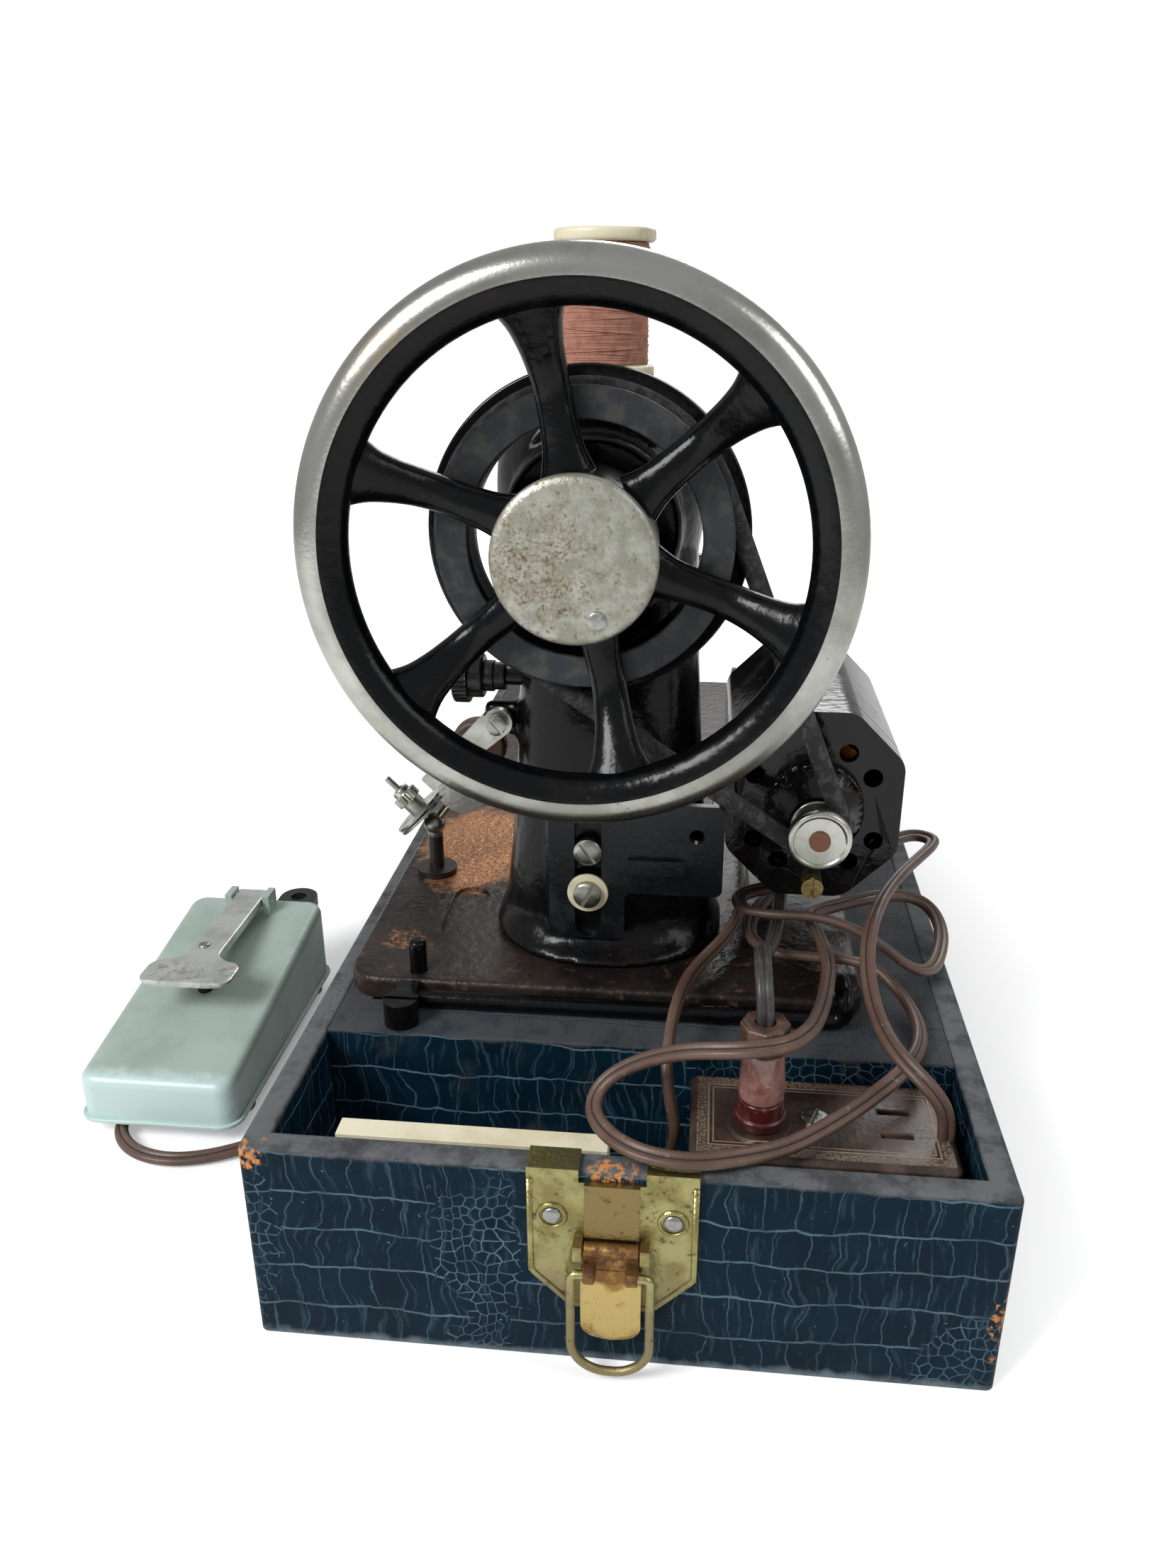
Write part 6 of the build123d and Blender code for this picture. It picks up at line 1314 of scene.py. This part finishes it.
standing = np.stack([upright[:, 0], -upright[:, 2], BLOCK_TOP - upright[:, 1]], -1)
shank = lathe([(53.9, 0), (53.9, 2.0), (63.2, 2.0), (63.2, 0)], (56.4, -188.0), "Z", 24)
screw = joined((standing, faces), shank)
make_piece("block_screw_head", *screw, nickel, "machine", "nickel", "block_screw")
MOUNT_X, BRACKET_FACE, RIB_Z = -18.5, -126.0, 114.5
rib_line = np.linspace((-5.0, BRACKET_FACE, RIB_Z), (13.0, BRACKET_FACE, RIB_Z), 24)
swell = np.sin(pi * np.linspace(0.02, 0.98, 24)) ** 0.3
rib = skinned(swept(rib_line, swell[:, None, None] * ellipse(1.1, 1.9, 16), side=(0.0, 1.0, 0.0)))
make_piece("bracket_rib", *rib, bracket_paint, "machine", "bracket_paint", "motor_bracket")
heads = []
for z, lift_off, degrees in ((119.5, 0.0, 35), (104.0, 1.4, -25)):
    front = BRACKET_FACE - lift_off
    heads.append(slotted_head((MOUNT_X, front, z), 4.7, 2.8, 1.2, 1.1, degrees))
    heads.append(lathe([(front, 0), (front, 3.0), (-115.0, 3.0), (-115.0, 0)], (MOUNT_X, z), "Y", 24))
make_piece("mount_screws", *joined(*heads), nickel, "machine", "nickel", "bracket_screws")
WASHER = [(-127.4, 3.1), (-127.4, 7.0), (-126.02, 7.0), (-126.02, 3.1)]
washer = turned(WASHER, 0.4, (MOUNT_X, 104.0), "Y", 48)
make_piece("cream_washer", *washer, cream, "machine", "nickel", "bracket_screws")

# %% [markdown]
# ## Turned parts at the motor and on the left
# The motor pulley has a raised front rim. The stitch knob is black and milled, on a thin neck,
# and the winder's wheel wears a brown rubber tyre.

# %% Pulley, knob, tyre and nut
MOTOR = (56.0, 135.5)
PULLEY = [
    (-146.0, 0), (-146.0, 7.9), (-146.6, 8.4), (-146.4, 9.6), (-144.9, 10.1), (-142.6, 10.0),
    (-141.4, 4.9), (-134.8, 4.9), (-134.4, 8.4), (-133.2, 8.5), (-133.2, 0),
]
sheave = turned(PULLEY, (0, 0.4, 0.3, 0.6, 0.6, 0.6, 0.8, 0.8, 0.4, 0.4, 0), MOTOR, "Y", 80, 4)
make_piece("motor_sheave", *sheave, nickel, "rotor", "nickel", "motor_pulley")
KNOB_PLACE = (-100.0, 172.0)
KNOB = [(-67.0, 0), (-67.0, 9.5), (-61.6, 9.5), (-61.4, 7.6), (-56.6, 7.6), (-56.6, 0)]
knob = turned(KNOB, (0, 1.2, 0.6, 0.3, 1.0, 0), KNOB_PLACE, "X", 160, 4, (32, 0.5, -66.2, -61.9))
make_piece("stitch_knob_black", *knob, black_plastic, "stitch_dial", "black_plastic", "stitch_knob")
NECK = [
    (-57.0, 0), (-57.0, 5.4), (-53.2, 5.4), (-53.0, 4.8), (-49.2, 4.8), (-49.0, 3.0), (-35.2, 3.0),
    (-35.2, 0),
]
neck = turned(NECK, (0, 0.4, 0.3, 0.5, 0.5, 0.3, 0.5, 0), KNOB_PLACE, "X", 48)
make_piece("stitch_neck", *neck, black_plastic, "stitch_dial", "black_plastic", "stitch_knob")
pivot_screw = slotted_head((-51.5, -109.4, 157.0), 3.4, 1.2, 0.9, 0.8, 40)
make_piece("winder_screw", *pivot_screw, nickel, "winder", "nickel", "winder_frame")
WINDER_WHEEL = (-61.5, 143.0)
TYRE = [(-93.9, 2.4), (-93.9, 9.0), (-92.6, 10.0), (-87.8, 10.0), (-86.5, 9.0), (-86.5, 2.4)]
tyre = turned(TYRE, (0.3, 1.0, 1.4, 1.4, 1.0, 0.3), WINDER_WHEEL, "Y", 64, 4)
make_piece("winder_tyre", *tyre, winder_rubber, "winder_pulley", "winder_brown", "winder_wheel")
spindle = rod(-108.5, -73.5, 2.5, 0.6, WINDER_WHEEL, "Y", 32)
make_piece("winder_spindle", *spindle, nickel, "winder_pulley", "winder_brown", "winder_wheel")
NUT = [(13.2, 2.06), (13.2, 5.2), (17.2, 5.2), (17.2, 3.6), (19.5, 3.6), (19.5, 2.06)]
nut, faces = turned(NUT, (0.1, 0.5, 0.5, 0.3, 0.4, 0.1), (0.0, 0.0), "Z", 96, 3, (24, 0.4, 13.4, 17.0))
x, y, z = nut.T
lean = 0.5**0.5
nut = np.stack([-86.5 + lean * (x - z), -62.0 + y, 98.5 + lean * (x + z)], -1)
make_piece("tension_knurl", nut, faces, nickel, "nut", "nickel", "tension_nut")

# %% [markdown]
# ## The pedal
# A strap folded down along both sides runs from the hinge to a broad foot pad with a thick edge.

# %% Pedal arm and pad
PEDAL_X = -178.5
PEDAL_TOP = 48.1
PAD_HALF, STRAP_HALF, PAD_ROUND = 18.5, 6.5, 5.0
PAD_FRONT = -109.0
PAD_BACK, FLARE = 16.5, 9.0
STRAP_END = 78.0
ease = np.linspace(0, 1, 18) ** 1.7 * PAD_ROUND
flaring = PAD_BACK + np.linspace(0.1, 1.0, 12) * FLARE
run = np.concatenate([ease, PAD_BACK - ease[::-1], flaring, [STRAP_END]])
from_end = np.minimum(np.minimum(run, np.maximum(PAD_BACK - run, 0)), PAD_ROUND)
corner = np.sqrt(np.maximum(PAD_ROUND**2 - (PAD_ROUND - from_end) ** 2, 0.01))
neck = np.clip((run - PAD_BACK) / FLARE, 0, 1)
half = np.where(run <= PAD_BACK, PAD_HALF - PAD_ROUND + corner, STRAP_HALF)
half = np.maximum(half, STRAP_HALF + (PAD_HALF - PAD_ROUND - STRAP_HALF) * (1 - neck) ** 3)
section = superellipse(5.0, 40)
thick = (0.85 + 0.4 * np.clip((PAD_BACK - run) / 2.0, 0, 1))[:, None]
z = PEDAL_TOP - thick + thick * section[None, :, 1]
y = np.broadcast_to((PAD_FRONT + run)[:, None], z.shape)
strap = skinned(np.stack([PEDAL_X + half[:, None] * section[None, :, 0], y, z], -1))
folds = [slab((x, x + 1.4), (-90.0, -31.2), (44.0, 47.4), 0.6, 0.4) for x in (PEDAL_X - 6.5, PEDAL_X + 5.1)]
hinge_pin = rod(PEDAL_X - 9.9, PEDAL_X + 9.9, 2.0, 0.5, (-35.0, 46.0), "X", 24)
pedal = joined(strap, *folds, hinge_pin)
make_piece("pedal_strap", *pedal, strap_steel, "treadle", "bright_steel", "pedal")
DOME = [(47.6, 0), (47.6, 2.6), (48.8, 2.2), (49.3, 0)]
dome = turned(DOME, (0, 0.2, 0.8, 0), (PEDAL_X - 2.0, -81.0), "Z", 32, 4)
make_piece("pedal_rivet", *dome, nickel, "treadle", "bright_steel", "pedal")
